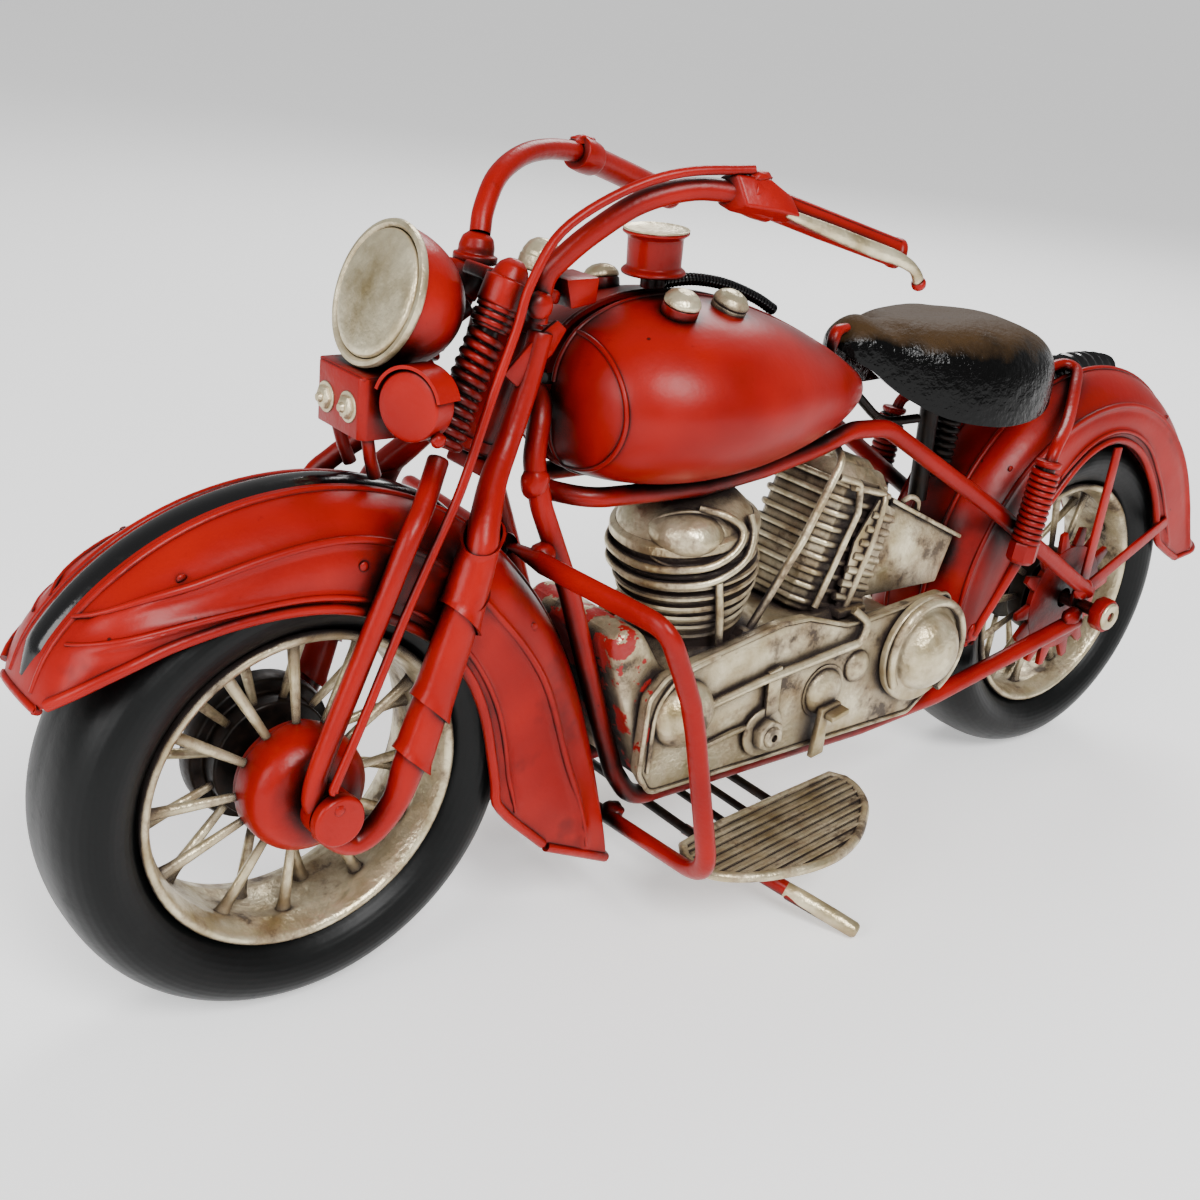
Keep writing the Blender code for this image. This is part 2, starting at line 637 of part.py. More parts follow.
def fuel_tank():
    """Two pressed half shells, open where they meet over the spine."""
    for side_name, side in (("left", 1), ("right", -1)):
        rows = []
        for x, top, bottom, half in TANK:
            middle, tall = (top + bottom) / 2, (top - bottom) / 2
            row = []
            for k in range(11):
                turn = math.pi * k / 10
                y = SEAM_Y + (half - SEAM_Y * 0.5) * math.sin(turn) ** 0.94
                lift = math.copysign(abs(math.cos(turn)) ** 1.1, math.cos(turn))
                row.append((x, side * y, middle + tall * lift))
            rows.append(row if side > 0 else list(reversed(row)))
        ends = []
        for row in (rows[0], rows[-1]):
            middle = sum((Vector(p) for p in row), Vector()) / len(row)
            ends.append([(middle.x, side * SEAM_Y, middle.z)] * len(row))
        sheet("fuel_tank_" + side_name, [ends[0], *rows, ends[1]], SHEET + 0.1, RED, MACHINE)


def dashboard():
    for side_name, side in (("left", 1), ("right", -1)):
        cap = [(0.0, 3.2), (2.0, 2.8), (3.0, 1.6), (3.1, 0.6), (2.7, 0.5), (2.7, -0.5), (0.0, -0.5)]
        at, lean = (33.6, side * 10.4, 112.4), (0, side * 0.3, 1)
        turned("fuel_cap_" + side_name, cap, at, lean, SILVER, MACHINE, 14, closed=False)
    drum = [
        (0.0, 3.6), (5.2, 3.8), (5.6, 3.2), (4.6, 2.4), (4.6, -2.6), (5.4, -3.2), (5.4, -3.8),
        (2.1, -3.8),
        (2.1, -6.2), (0.0, -6.2),
    ]
    turned("speedometer_drum", drum, (31.4, 0.0, 119.7), (0.05, 0, 1), RED, MACHINE, 18, closed=False)
    hose = [(28.4, 0.0, 114.4), (22.0, -0.2, 114.6), (14.0, -0.6, 113.4), (6.0, -0.8, 110.8),
        (1.0, -0.8, 108.4)]
    rod("speedometer_hose", hose, 1.0, BLACK, MACHINE, bend=12.0, steps=3)


# ---------------------------------------------------------------- saddle
# x, crest, skirt and half width along the saddle
SADDLE = [
    (-16.6, 101.0, 99.6, 3.0), (-19.6, 104.0, 98.0, 5.4), (-26.0, 107.0, 93.2, 9.6),
    (-35.0, 108.4, 89.2, 15.0),
    (-45.0, 108.0, 87.6, 18.8), (-54.0, 106.4, 87.8, 19.4), (-62.0, 104.2, 88.8, 17.6),
    (-69.0, 102.0, 90.2, 13.6),
    (-74.0, 100.0, 92.0, 8.4),
]


def saddle():
    """A pressed saddle pan with drooping skirts, on its post and coil spring."""
    rows = []
    for x, crest, skirt, half in SADDLE:
        row = []
        for k in range(13):
            turn = math.pi * (k / 12 - 0.5)
            flat = math.sin(turn)
            y = half * (flat if abs(flat) < 1 else math.copysign(1, flat))
            row.append((x, y, skirt + (crest - skirt) * abs(math.cos(turn)) ** 0.55))
        rows.append(row)
    nose = [(SADDLE[0][0] + 1.2, 0.0, 100.6)] * 13
    back = [(SADDLE[-1][0] - 2.0, 0.0, 96.6)] * 13
    sheet("saddle", [nose, *rows, back], 2.2, BLACK, MACHINE)
    rod("saddle_post", [(-47.4, 0.0, 103.4), (-50.0, 0.0, 66.0)], 2.0, DARK, MACHINE)


# ---------------------------------------------------------------- engine
def engine():
    case = [
        (42.6, 55.0), (39.6, 57.6), (35.4, 56.6), (29.4, 47.8), (24.0, 46.0), (-24.0, 46.0),
        (-44.0, 43.4),
        (-46.0, 31.0), (-37.0, 26.2), (-24.0, 24.2), (30.0, 24.2), (33.4, 30.0),
    ]
    slab("crankcase", case, -13.0, 13.6, "XZ", SILVER, MACHINE, edge=1.6)
    cover = [
        (35.4, 44.6), (32.0, 48.2), (26.0, 49.6), (4.0, 53.6), (-3.0, 53.4), (-14.0, 50.0),
        (-20.0, 50.0), (-44.0, 52.0), (-47.6, 44.0),
        (-44.0, 30.6), (-38.0, 25.8), (33.0, 25.4), (35.8, 30.0),
    ]
    slab("primary_cover", cover, 13.9, 17.0, "XZ", SILVER, MACHINE, edge=0.8)
    dome = [(0.0, 5.4), (3.4, 4.9), (6.8, 3.2), (8.8, 1.6), (11.2, 1.2), (11.6, 0.2), (11.6, -1.9),
        (0.0, -1.9)]
    turned("clutch_cover", dome, (-36.8, 19.4, 41.2), (0, 1, 0), SILVER, MACHINE, 24, closed=False)
    nut = [(0.0, 3.0), (3.1, 3.0), (3.1, 0.2), (4.9, 0.0), (4.9, -0.8), (0.0, -0.8)]
    turned("sprocket_nut", nut, (6.4, 18.3, 32.2), (0, 1, 0), SILVER, MACHINE, 12, closed=False)

    # front barrel: round, thinly ribbed, narrower at the foot, with a domed head
    height = 31.0
    barrel = [(0.0, height), (5.6, height - 0.7), (9.8, height - 2.8), (12.6, height - 6.0),
        (13.8, height - 8.6)]
    ribs, pitch = 5, 3.7
    for k in range(ribs):
        low = height - 9.4 - k * pitch
        girth = 13.6 - 3.2 * (k / (ribs - 1)) ** 2
        barrel += [(girth, low), (girth - 1.0, low - 1.0), (girth - 1.0, low - 2.2),
            (girth - 0.2, low - 3.1)]
    barrel += [(9.4, 0.0), (0.0, 0.0)]
    turned("front_cylinder", barrel, (14.4, 2.0, 48.2), (0.18, 0.0, 0.983), SILVER, MACHINE, 18,
        closed=False)

    # rear barrel: square fins, leaning back
    lean = Vector((-0.3, 0.0, 0.954)).normalized()
    ahead = Vector((lean.z, 0.0, -lean.x))
    foot = Vector((-13.6, 1.0, 49.6))
    rings = []

    def square(up, half):
        edge, cut = half, half * 0.25
        corners = [
            (edge, edge - cut), (edge - cut, edge), (cut - edge, edge), (-edge, edge - cut),
            (-edge, cut - edge), (cut - edge, -edge),
            (edge - cut, -edge), (edge, cut - edge),
        ]
        return [foot + lean * up + ahead * u * 0.92 + Vector((0, v, 0)) for u, v in corners]

    fins, fin_pitch = 8, 3.3
    for k in range(fins):
        up = k * fin_pitch
        rings += [square(up, 8.0), square(up + 1.5, 8.0), square(up + 1.7, 9.9), square(up + 3.0, 9.9)]
    rings += [square(fins * fin_pitch + 0.2, 8.0), square(fins * fin_pitch + 3.6, 6.4)]
    lofted("rear_cylinder", rings, SILVER, MACHINE)

    # intake box behind the rear barrel, with its lid
    box = [(-30.2, 70.8), (-52.6, 60.6), (-49.4, 50.4), (-24.2, 50.8)]
    slab("intake_box", box, -6.0, 9.4, "XZ", SILVER, MACHINE, edge=0.6)


# ---------------------------------------------------------------- guards, boards and running gear
BOARD_Z = 17.0


def board_outline():
    """Half-moon board: straight inner edge, round outer edge, wider at the front."""
    inner = [(28.8, 23.6), (18.0, 21.4), (0.0, 19.4), (-15.8, 17.8)]
    outer = [
        (-17.4, 20.6), (-16.8, 24.2), (-13.8, 29.2), (-9.2, 33.2), (-2.4, 37.6), (5.2, 40.2),
        (12.0, 40.6),
        (19.0, 39.4), (25.4, 37.2), (29.8, 34.2), (31.4, 30.6), (30.8, 26.4),
    ]
    return inner + outer


def footboards():
    for side_name, side in (("left", 1), ("right", -1)):
        outline = [(x, side * y) for x, y in board_outline()]
        slab("footboard_" + side_name, outline, BOARD_Z - 1.6, BOARD_Z, "XY", SILVER, MACHINE, edge=0.3)
    for name, x in (("footboard_bar_front", 21.4), ("footboard_bar_rear", -1.0)):
        ends = [(x, -32.0, BOARD_Z - 2.9), (x, 32.0, BOARD_Z - 2.9)]
        rod(name, ends, 0.95, DARK, MACHINE, sides=1)


def crash_bar():
    half = [(56.8, 0.0, 71.4), (56.8, 10.0, 71.4), (53.0, 37.6, 70.0), (46.0, 38.4, 58.0),
        (36.2, 38.2, 19.6), (34.4, 6.0, 16.4), (34.4, 0.0, 16.4)]
    loop = half[1:-1] + flip(reversed(half[1:-1]))
    rod("crash_bar", [half[0], *loop[: len(half) - 2], half[-1], *loop[len(half) - 2 :]], TUBE_R, RED,
        MACHINE,
        bend=9.0, steps=3, loop=True)


SHOCK_Y = 20.9


def shocks():
    """Rear springs with their rods; from each a hoop runs up over the fender and down below the saddle."""
    hoop = [
        (-63.4, SHOCK_Y, 77.0), (-65.4, 20.4, 81.4), (-71.6, 17.6, 84.0), (-78.0, 13.8, 86.4),
        (-84.0, 9.8, 90.0),
        (-88.6, 6.2, 92.6), (-87.4, 3.4, 93.4), (-82.4, 2.8, 92.2), (-77.0, 2.8, 89.8),
        (-70.3, 4.1, 85.0),
    ]
    tail = [(-61.4, SHOCK_Y, 62.4), (-61.0, 20.5, 58.4), (-58.4, 18.4, 47.6), (-55.4, 17.2, 40.0)]
    for side_name, side in (("left", 1), ("right", -1)):
        name = "rear_shock_" + side_name
        mirrored = flip if side < 0 else list
        coil = spring(name, (-63.2, side * SHOCK_Y, 78.4), (-61.2, side * SHOCK_Y, 61.6), SPRING_R, 7,
            MACHINE)
        hoop_rod = swept(name + "_hoop", mirrored(hoop), [1.3] * len(hoop), RED, MACHINE, 8)
        tail_rod = swept(name + "_tail", mirrored(tail), [2.6, 2.6, 0.9, 0.9], RED, MACHINE, 8)
        combine(coil, [hoop_rod, tail_rod])


def fender_stays():
    """Flat struts from the axle up to the rear fender's edge."""
    for side_name, side in (("left", 1), ("right", -1)):
        base, top, tip = (-97.5, 41.2), (-98.6, 76.6), (-128.0, 55.0)
        wide = 1.3
        outline = [
            (base[0] + wide, base[1]), (top[0] + wide, top[1]), (top[0] - wide, top[1]),
            (base[0] - 1.4, base[1] + 5.0),
            (tip[0] + 0.6, tip[1] + 2.0), (tip[0] - 0.8, tip[1] - 0.9), (base[0] - 3.0, base[1] + 1.0),
            (base[0] - wide, base[1]),
        ]
        low, high = sorted((side * 14.2, side * 15.0))
        slab("fender_stay_" + side_name, outline, low, high, "XZ", RED, MACHINE)


def exhaust():
    """Header and silencer low on the right."""
    pipe = [
        (12.0, -15.8, 51.0), (20.0, -17.6, 43.0), (20.0, -19.6, 32.0), (-30.0, -20.6, 29.0),
        (-92.0, -21.4, 28.0),
    ]
    path = bent(pipe, 9.0, 4)
    swept("exhaust_pipe", path, [2.1] * len(path), SILVER, MACHINE, 10)
    muffler = [(0.0, 27.0), (2.6, 27.0), (4.4, 23.0), (4.6, -20.0), (3.2, -27.0), (0.0, -27.0)]
    silencer = turned("exhaust_silencer", muffler, (-60.0, -21.0, 28.5), (1, 0.01, 0.016), SILVER,
        MACHINE, 12, closed=False)
    combine(bpy.data.objects["exhaust_pipe"], [silencer])


def side_stand():
    along = (STAND_TIP - STAND_PIVOT).normalized()
    path = [STAND_PIVOT, STAND_PIVOT + along * 20.0, STAND_PIVOT + along * 22.0,
        STAND_TIP - along * 3.0, STAND_TIP]
    swept("side_stand", path, [1.5, 1.5, 1.7, 1.7, 1.3], RED, STAND, 8)


frame()
fuel_tank()
dashboard()
saddle()
engine()
footboards()
crash_bar()
shocks()
fender_stays()
exhaust()
side_stand()
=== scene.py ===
# %% [markdown]
# # A hand-made tin motorcycle
# The real ornament is bent steel rod, pressed tin sheet and a few turned pieces, soldered together and
# painted by hand. Every piece below is built in millimetres in the machine's own frame: +X runs forward
# to the headlight, +Y to the rider's left, +Z up, the wheels' middle plane is y = 0 and the ground z = 0.
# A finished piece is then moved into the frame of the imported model, which holds the joints.

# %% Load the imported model
import math

import bmesh
import bpy
from mathutils import Matrix, Vector, noise


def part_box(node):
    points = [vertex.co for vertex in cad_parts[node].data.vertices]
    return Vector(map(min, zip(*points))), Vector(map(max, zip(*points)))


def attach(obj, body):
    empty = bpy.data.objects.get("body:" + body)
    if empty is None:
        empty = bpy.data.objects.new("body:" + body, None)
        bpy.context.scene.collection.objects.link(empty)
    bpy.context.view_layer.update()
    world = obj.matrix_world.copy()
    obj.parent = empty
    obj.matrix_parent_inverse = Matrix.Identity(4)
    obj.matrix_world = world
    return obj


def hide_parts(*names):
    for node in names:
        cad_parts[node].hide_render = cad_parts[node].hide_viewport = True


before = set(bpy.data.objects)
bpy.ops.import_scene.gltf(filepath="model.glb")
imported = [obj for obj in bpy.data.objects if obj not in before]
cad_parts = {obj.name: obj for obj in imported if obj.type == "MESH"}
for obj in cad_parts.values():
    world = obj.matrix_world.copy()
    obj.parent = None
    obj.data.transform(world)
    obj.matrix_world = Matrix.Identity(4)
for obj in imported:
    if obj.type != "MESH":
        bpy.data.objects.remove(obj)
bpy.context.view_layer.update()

# %% The driving sizes, in millimetres
WHEELBASE = 195.0
WHEEL_R = 39.0
FRONT_AXLE = Vector((WHEELBASE / 2, 0.0, WHEEL_R))
REAR_AXLE = Vector((-WHEELBASE / 2, 0.0, WHEEL_R))
RAKE = math.radians(17.0)
STEM_TOP = Vector((54.2, 0.0, 121.0))
STEM_DOWN = Vector((math.sin(RAKE), 0.0, -math.cos(RAKE)))
RIGHT, LEFT = -1, 1
SIDES = (("left", LEFT), ("right", RIGHT))

tyre_low, tyre_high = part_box("front_tyre")
SHIFT = (tyre_low + tyre_high) / 2 * 1000 - FRONT_AXLE
TO_FRAME = Matrix.Scale(0.001, 4) @ Matrix.Translation(SHIFT)
print("machine frame sits at", [round(v, 3) for v in SHIFT], "mm")


# %% [markdown]
# ## Finishes
# Each finish is a small node tree. One function makes a node, sets it up and links it, and one turns the
# sRGB hex of a paint chip into the linear numbers that the shader works in. Patterns read Object
# coordinates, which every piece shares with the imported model, scaled so that one unit is one millimetre.

# %% Two helpers for node trees
def linear(hex_colour):
    """Linear RGBA from an sRGB hex colour."""
    srgb = [int(hex_colour[i : i + 2], 16) / 255 for i in (0, 2, 4)]
    return (*[c / 12.92 if c <= 0.04045 else ((c + 0.055) / 1.055) ** 2.4 for c in srgb], 1.0)


def add_node(tree, kind, links=None, **settings):
    """One node with its settings; links gives each input a value or another node's socket."""
    made = tree.nodes.new(kind)
    for key, value in settings.items():
        setattr(made, key, value)
    for socket, value in (links or {}).items():
        if isinstance(value, bpy.types.NodeSocket):
            tree.links.new(value, made.inputs[socket])
        else:
            made.inputs[socket].default_value = value
    return made


def new_finish(name, **constants):
    """A material, its tree and shader, and a coordinate in millimetres; constants go on the shader."""
    made = bpy.data.materials.new(name)
    made.use_nodes = True
    tree = made.node_tree
    shader = tree.nodes["Principled BSDF"]
    for socket, value in constants.items():
        shader.inputs[socket.replace("_", " ")].default_value = value
    place = add_node(tree, "ShaderNodeTexCoord")
    scaled = add_node(tree, "ShaderNodeMapping", {"Vector": place.outputs["Object"],
        "Scale": (1000.0,) * 3})
    return made, tree, shader, scaled.outputs["Vector"]


# %% [markdown]
# Paint on such a piece is never even. The maker brushes a thin brown-black wash over everything and
# wipes it off again, so it stays in corners. An Ambient Occlusion node finds those corners and darkens
# them: this is painted shade, standing in also for that wash. Slow noise varies the coat, a few small
# spots stand for grit and pinholes, and two scales of bump give the brushed, slightly lumpy film.

# %% Painted shade in corners with the wash, the spots and the bump that all paints share
def ramp(tree, value, low, high):
    """A value stretched so that low gives 0 and high gives 1."""
    made = add_node(
        tree, "ShaderNodeMapRange", {"Value": value, "From Min": low, "From Max": high}, clamp=True
    )
    return made.outputs["Result"]


def mixed(tree, share, a, b):
    made = add_node(tree, "ShaderNodeMix", {0: share}, data_type="RGBA")
    for socket, value in ((6, a), (7, b)):
        if isinstance(value, bpy.types.NodeSocket):
            tree.links.new(value, made.inputs[socket])
        else:
            made.inputs[socket].default_value = value
    return made.outputs[2]


def grain(tree, where, size, detail=3.0, rough=0.55):
    """Noise whose lumps are about size millimetres across."""
    made = add_node(
        tree, "ShaderNodeTexNoise",
        {"Vector": where, "Scale": 1.0 / size, "Detail": detail, "Roughness": rough},
    )
    return made.outputs["Fac"]


def calc(tree, operation, a, b=0.0):
    return add_node(tree, "ShaderNodeMath", {0: a, 1: b}, operation=operation).outputs["Value"]


def corners(tree, where, reach, amount, break_up):
    """How much painted shade and wash lies here: strong in corners within reach (mm), broken up by noise.
    """
    near = add_node(tree, "ShaderNodeAmbientOcclusion", {"Distance": reach * 0.001}, samples=6)
    # ambient occlusion: darker where shade falls, painted into the colour as shade
    painted_shade = ramp(tree, near.outputs["AO"], 0.97, 0.42)
    patchy = ramp(tree, grain(tree, where, break_up, 4.0), 0.3, 0.72)
    return calc(tree, "MULTIPLY", calc(tree, "MULTIPLY", painted_shade, calc(tree, "ADD", patchy, 0.6)), amount)


def spots(tree, where, size, threshold):
    """Small scattered specks, about size apart."""
    cells = add_node(tree, "ShaderNodeTexVoronoi",
        {"Vector": where, "Scale": 1.0 / size, "Randomness": 1.0})
    rare = add_node(tree, "ShaderNodeSeparateColor", {"Color": cells.outputs["Color"]})
    few = calc(tree, "GREATER_THAN", rare.outputs[0], 0.72)
    return calc(tree, "MULTIPLY", ramp(tree, cells.outputs["Distance"], threshold, threshold * 0.6), few)


def lumpy(tree, shader, where, sizes, strength):
    """Bump from several scales of noise; sizes is a list of (millimetres, height in millimetres)."""
    normal = None
    for size, height in sizes:
        links = {"Height": grain(tree, where, size, 3.0), "Strength": strength, "Distance": height * 0.001}
        if normal:
            links["Normal"] = normal
        normal = add_node(tree, "ShaderNodeBump", links).outputs["Normal"]
    tree.links.new(normal, shader.inputs["Normal"])


# %% [markdown]
# ** Red enamel** is an alkyd spray enamel over primer: a dielectric film, IOR about 1.5, satin rather than
# glossy. The tank is rubbed flatter than the rods. Painted shade and wash turn it dark oxblood in corners.

# %% Red enamel
def red_enamel(name, roughness, wash_and_shade, bump, patches=0.0):
    made, tree, shader, where = new_finish(name, IOR=1.5, Specular_IOR_Level=0.2)
    slow = ramp(tree, grain(tree, where, 22.0, 2.0), 0.3, 0.7)
    body = mixed(tree, slow, linear("780300"), linear("980800"))
    fine = ramp(tree, grain(tree, where, 2.2, 5.0, 0.7), 0.62, 0.8)
    body = mixed(tree, calc(tree, "MULTIPLY", fine, 0.4), body, linear("430200"))
    # painted shade in corners from ambient occlusion, together with the wash; the worn patches below are
    # real wear
    dirt_and_shade = corners(tree, where, 8.0, wash_and_shade, 9.0)
    if patches:
        worn = ramp(tree, grain(tree, where, 16.0, 4.0, 0.65), 0.6, 0.72)
        dirt_and_shade = calc(tree, "MAXIMUM", dirt_and_shade, calc(tree, "MULTIPLY", worn, patches))
    # near-black 0E0302: the painted shade and wash in corners, and the worn patches
    body = mixed(tree, dirt_and_shade, body, linear("0E0302"))
    body = mixed(tree, calc(tree, "MULTIPLY", spots(tree, where, 5.5, 0.07), 0.85), body, linear("0C0403"))
    tree.links.new(body, shader.inputs["Base Color"])
    gloss = calc(tree, "ADD", calc(tree, "MULTIPLY", grain(tree, where, 6.0), 0.16), roughness - 0.08)
    tree.links.new(gloss, shader.inputs["Roughness"])
    lumpy(tree, shader, where, [(1.1, 0.07), (5.0, 0.34)], bump)
    return made


RED = red_enamel("red_alkyd_enamel", 0.34, 1.3, 0.6)
TANK_RED = red_enamel("red_enamel_rubbed_satin", 0.36, 1.5, 0.25)
FENDER_RED = red_enamel("red_enamel_on_pressed_tin", 0.36, 1.4, 0.3, 0.5)


# %% [markdown]
# ** Silver paint** is aluminium flake in varnish, warm from the brown wash left on it, with painted shade
# darkening its corners. The flakes make it mostly metallic; the wash and the painted shade are a dull
# dielectric, so metallic falls where they lie. Where the paint has flaked off the crankcase, the red
# undercoat shows.

# %% Silver paint, plain and flaked
def silver_paint(name, wash_and_shade, break_up, flaked=None):
    made, tree, shader, where = new_finish(name)
    slow = ramp(tree, grain(tree, where, 7.0, 4.0), 0.3, 0.7)
    body = mixed(tree, slow, linear("9A8962"), linear("E8DDBC"))
    # painted shade in corners from ambient occlusion; the stain noise after it is the real wash
    dirt_and_shade = corners(tree, where, 7.0, wash_and_shade, break_up)
    stain = ramp(tree, grain(tree, where, break_up * 1.3, 6.0, 0.68), 0.48, 0.64)
    dirt_and_shade = calc(tree, "MAXIMUM", dirt_and_shade, calc(tree, "MULTIPLY", stain, 0.55 * wash_and_shade))
    # brown of the wash, going to near-black 1A0A03 where the painted shade is deep
    brown = mixed(tree, ramp(tree, dirt_and_shade, 0.35, 1.0), linear("5A2C0A"), linear("1A0A03"))
    body = mixed(tree, dirt_and_shade, body, brown)
    metal = calc(tree, "SUBTRACT", 0.82, calc(tree, "MULTIPLY", dirt_and_shade, 0.7))
    if flaked:
        along = add_node(tree, "ShaderNodeSeparateXYZ", {"Vector": where}).outputs["X"]
        edge = calc(tree, "MULTIPLY", ramp(tree, along, flaked[0], flaked[1]), 0.4)
        torn = calc(tree, "ADD", grain(tree, where, 5.5, 5.0, 0.62), edge)
        bare = calc(tree, "GREATER_THAN", torn, 0.88)
        body = mixed(tree, bare, body, linear("8A0502"))
        metal = calc(tree, "MULTIPLY", metal, calc(tree, "SUBTRACT", 1.0, bare))
    tree.links.new(body, shader.inputs["Base Color"])
    tree.links.new(calc(tree, "MAXIMUM", metal, 0.0), shader.inputs["Metallic"])
    gloss = calc(tree, "ADD", calc(tree, "MULTIPLY", dirt_and_shade, 0.25), 0.34)
    tree.links.new(gloss, shader.inputs["Roughness"])
    lumpy(tree, shader, where, [(0.8, 0.14), (3.6, 0.5)], 0.75)
    return made


SILVER = silver_paint("silver_aluminium_paint", 1.6, 6.0)
SILVER_CASE = silver_paint("silver_paint_flaked_to_red", 1.7, 8.0, (SHIFT.x + 18.0, SHIFT.x + 40.0))
SILVER_CLEAN = silver_paint("silver_paint_worn_bright", 0.45, 5.0)
LENS = silver_paint("silver_paint_on_lamp_lens", 0.25, 9.0)


# %% [markdown]
# **Black lacquer** covers the saddle: thick and glossy on the skirts, where it has pooled into small
# beads, and rubbed brown and dull on top. The surface's own upward direction drives the rubbing.
# **Tyre black** is a satin black on a smooth moulding: fine mould lines run round the axle, with grey
# scuffs.
# **Dark steel** is plain mild steel, left brown-black.

# %% Blacks and dark steel
def saddle_lacquer(name):
    made, tree, shader, where = new_finish(name, IOR=1.45, Specular_IOR_Level=0.18)
    facing = add_node(tree, "ShaderNodeTexCoord").outputs["Normal"]
    up = add_node(tree, "ShaderNodeSeparateXYZ", {"Vector": facing}).outputs["Z"]
    rub = calc(tree, "ADD", up, calc(tree, "MULTIPLY",
        calc(tree, "SUBTRACT", grain(tree, where, 9.0, 5.0), 0.5), 1.1))
    rub = ramp(tree, rub, 0.45, 0.85)
    body = mixed(tree, rub, linear("030303"), linear("38260F"))
    body = mixed(tree, calc(tree, "MULTIPLY", spots(tree, where, 4.0, 0.1), rub), body, linear("0B0A0A"))
    tree.links.new(body, shader.inputs["Base Color"])
    tree.links.new(calc(tree, "ADD", calc(tree, "MULTIPLY", rub, 0.52), 0.14), shader.inputs["Roughness"])
    lumpy(tree, shader, where, [(0.9, 0.2), (2.6, 0.4), (6.0, 0.5)], 0.75)
    return made


def black_paint(name, roughness, bump):
    made, tree, shader, where = new_finish(name, IOR=1.5)
    scuffed = ramp(tree, grain(tree, where, 3.0, 6.0, 0.7), 0.6, 0.85)
    body = mixed(tree, calc(tree, "MULTIPLY", scuffed, 0.5), linear("040405"), linear("1C1A18"))
    tree.links.new(body, shader.inputs["Base Color"])
    tree.links.new(calc(tree, "ADD", calc(tree, "MULTIPLY", scuffed, 0.2), roughness),
        shader.inputs["Roughness"])
    lumpy(tree, shader, where, [(1.4, 0.1)], bump)
    return made


def tyre_black(name, axle):
    made, tree, shader, where = new_finish(name, IOR=1.5, Specular_IOR_Level=0.2)
    away = add_node(tree, "ShaderNodeVectorMath", {0: where, 1: tuple(axle + SHIFT)}, operation="SUBTRACT")
    flat = add_node(tree, "ShaderNodeVectorMath", {0: away.outputs[0], 1: (1.0, 0.0, 1.0)},
        operation="MULTIPLY")
    radius = add_node(tree, "ShaderNodeVectorMath", {0: flat.outputs[0]},
        operation="LENGTH").outputs["Value"]
    scuff = ramp(tree, grain(tree, where, 5.0, 6.0, 0.72), 0.57, 0.8)
    body = mixed(tree, calc(tree, "MULTIPLY", scuff, 0.5), linear("020303"), linear("0C0E0F"))
    body = mixed(tree, spots(tree, where, 13.0, 0.035), body, linear("9C9A92"))
    tree.links.new(body, shader.inputs["Base Color"])
    tree.links.new(calc(tree, "ADD", calc(tree, "MULTIPLY", scuff, 0.18), 0.42), shader.inputs["Roughness"])
    rings = calc(tree, "SINE", calc(tree, "MULTIPLY", radius, 2 * math.pi / 0.9))
    lines = add_node(tree, "ShaderNodeBump", {"Height": rings, "Strength": 0.25, "Distance": 0.00003})
    lumps = add_node(
        tree, "ShaderNodeBump",
        {"Height": grain(tree, where, 4.0, 4.0), "Strength": 0.5, "Distance": 0.0002,
            "Normal": lines.outputs[0]},
    )
    tree.links.new(lumps.outputs[0], shader.inputs["Normal"])
    return made


def dark_steel(name):
    made, tree, shader, where = new_finish(name, Metallic=0.6)
    rust = ramp(tree, grain(tree, where, 4.0, 6.0, 0.7), 0.45, 0.75)
    tree.links.new(mixed(tree, rust, linear("0E0A08"), linear("26150B")), shader.inputs["Base Color"])
    tree.links.new(calc(tree, "ADD", calc(tree, "MULTIPLY", rust, 0.25), 0.38), shader.inputs["Roughness"])
    lumpy(tree, shader, where, [(1.0, 0.1)], 0.6)
    return made


SADDLE_BLACK = saddle_lacquer("black_lacquer_rubbed_brown")
BLACK = black_paint("black_gloss_lacquer", 0.18, 0.4)
TYRE_FRONT = tyre_black("satin_black_tyre_front", FRONT_AXLE)
TYRE_REAR = tyre_black("satin_black_tyre_rear", REAR_AXLE)
DARK = dark_steel("browned_mild_steel")
print("finishes:", len([m for m in bpy.data.materials if m.use_nodes]))


# %% [markdown]
# ## Making meshes
# A piece is made from a few meshes in millimetres, each with its finish. `piece` joins them, moves them
# into the imported model's frame, smooths them, hangs them on the body they ride on and hides the imported
# nodes they stand for.

# %% Meshes from points, and joining them into a piece
def raw_mesh(build, tidy=True):
    """A mesh from a function that fills a bmesh, with its normals facing out."""
    bm = bmesh.new()
    build(bm)
    if tidy:
        bmesh.ops.remove_doubles(bm, verts=bm.verts, dist=0.001)
        bmesh.ops.recalc_face_normals(bm, faces=bm.faces)
    mesh = bpy.data.meshes.new("part")
    bm.to_mesh(mesh)
    bm.free()
    return mesh


def with_modifiers(mesh, *modifiers):
    """The mesh after modifiers, each given as (kind, {setting: value})."""
    obj = bpy.data.objects.new("worked", mesh)
    bpy.context.scene.collection.objects.link(obj)
    for kind, settings in modifiers:
        made = obj.modifiers.new(kind.lower(), kind)
        for key, value in settings.items():
            setattr(made, key, value)
    graph = bpy.context.evaluated_depsgraph_get()
    result = bpy.data.meshes.new_from_object(obj.evaluated_get(graph))
    bpy.data.objects.remove(obj)
    return result


def rounded(mesh, width, segments=2, angle=40.0):
    """The mesh with its edges rounded, as filed or cast edges are."""
    return with_modifiers(mesh, ("BEVEL", {
        "width": width, "segments": segments, "limit_method": "ANGLE",
        "angle_limit": math.radians(angle), "use_clamp_overlap": True,
    }))


MADE = []


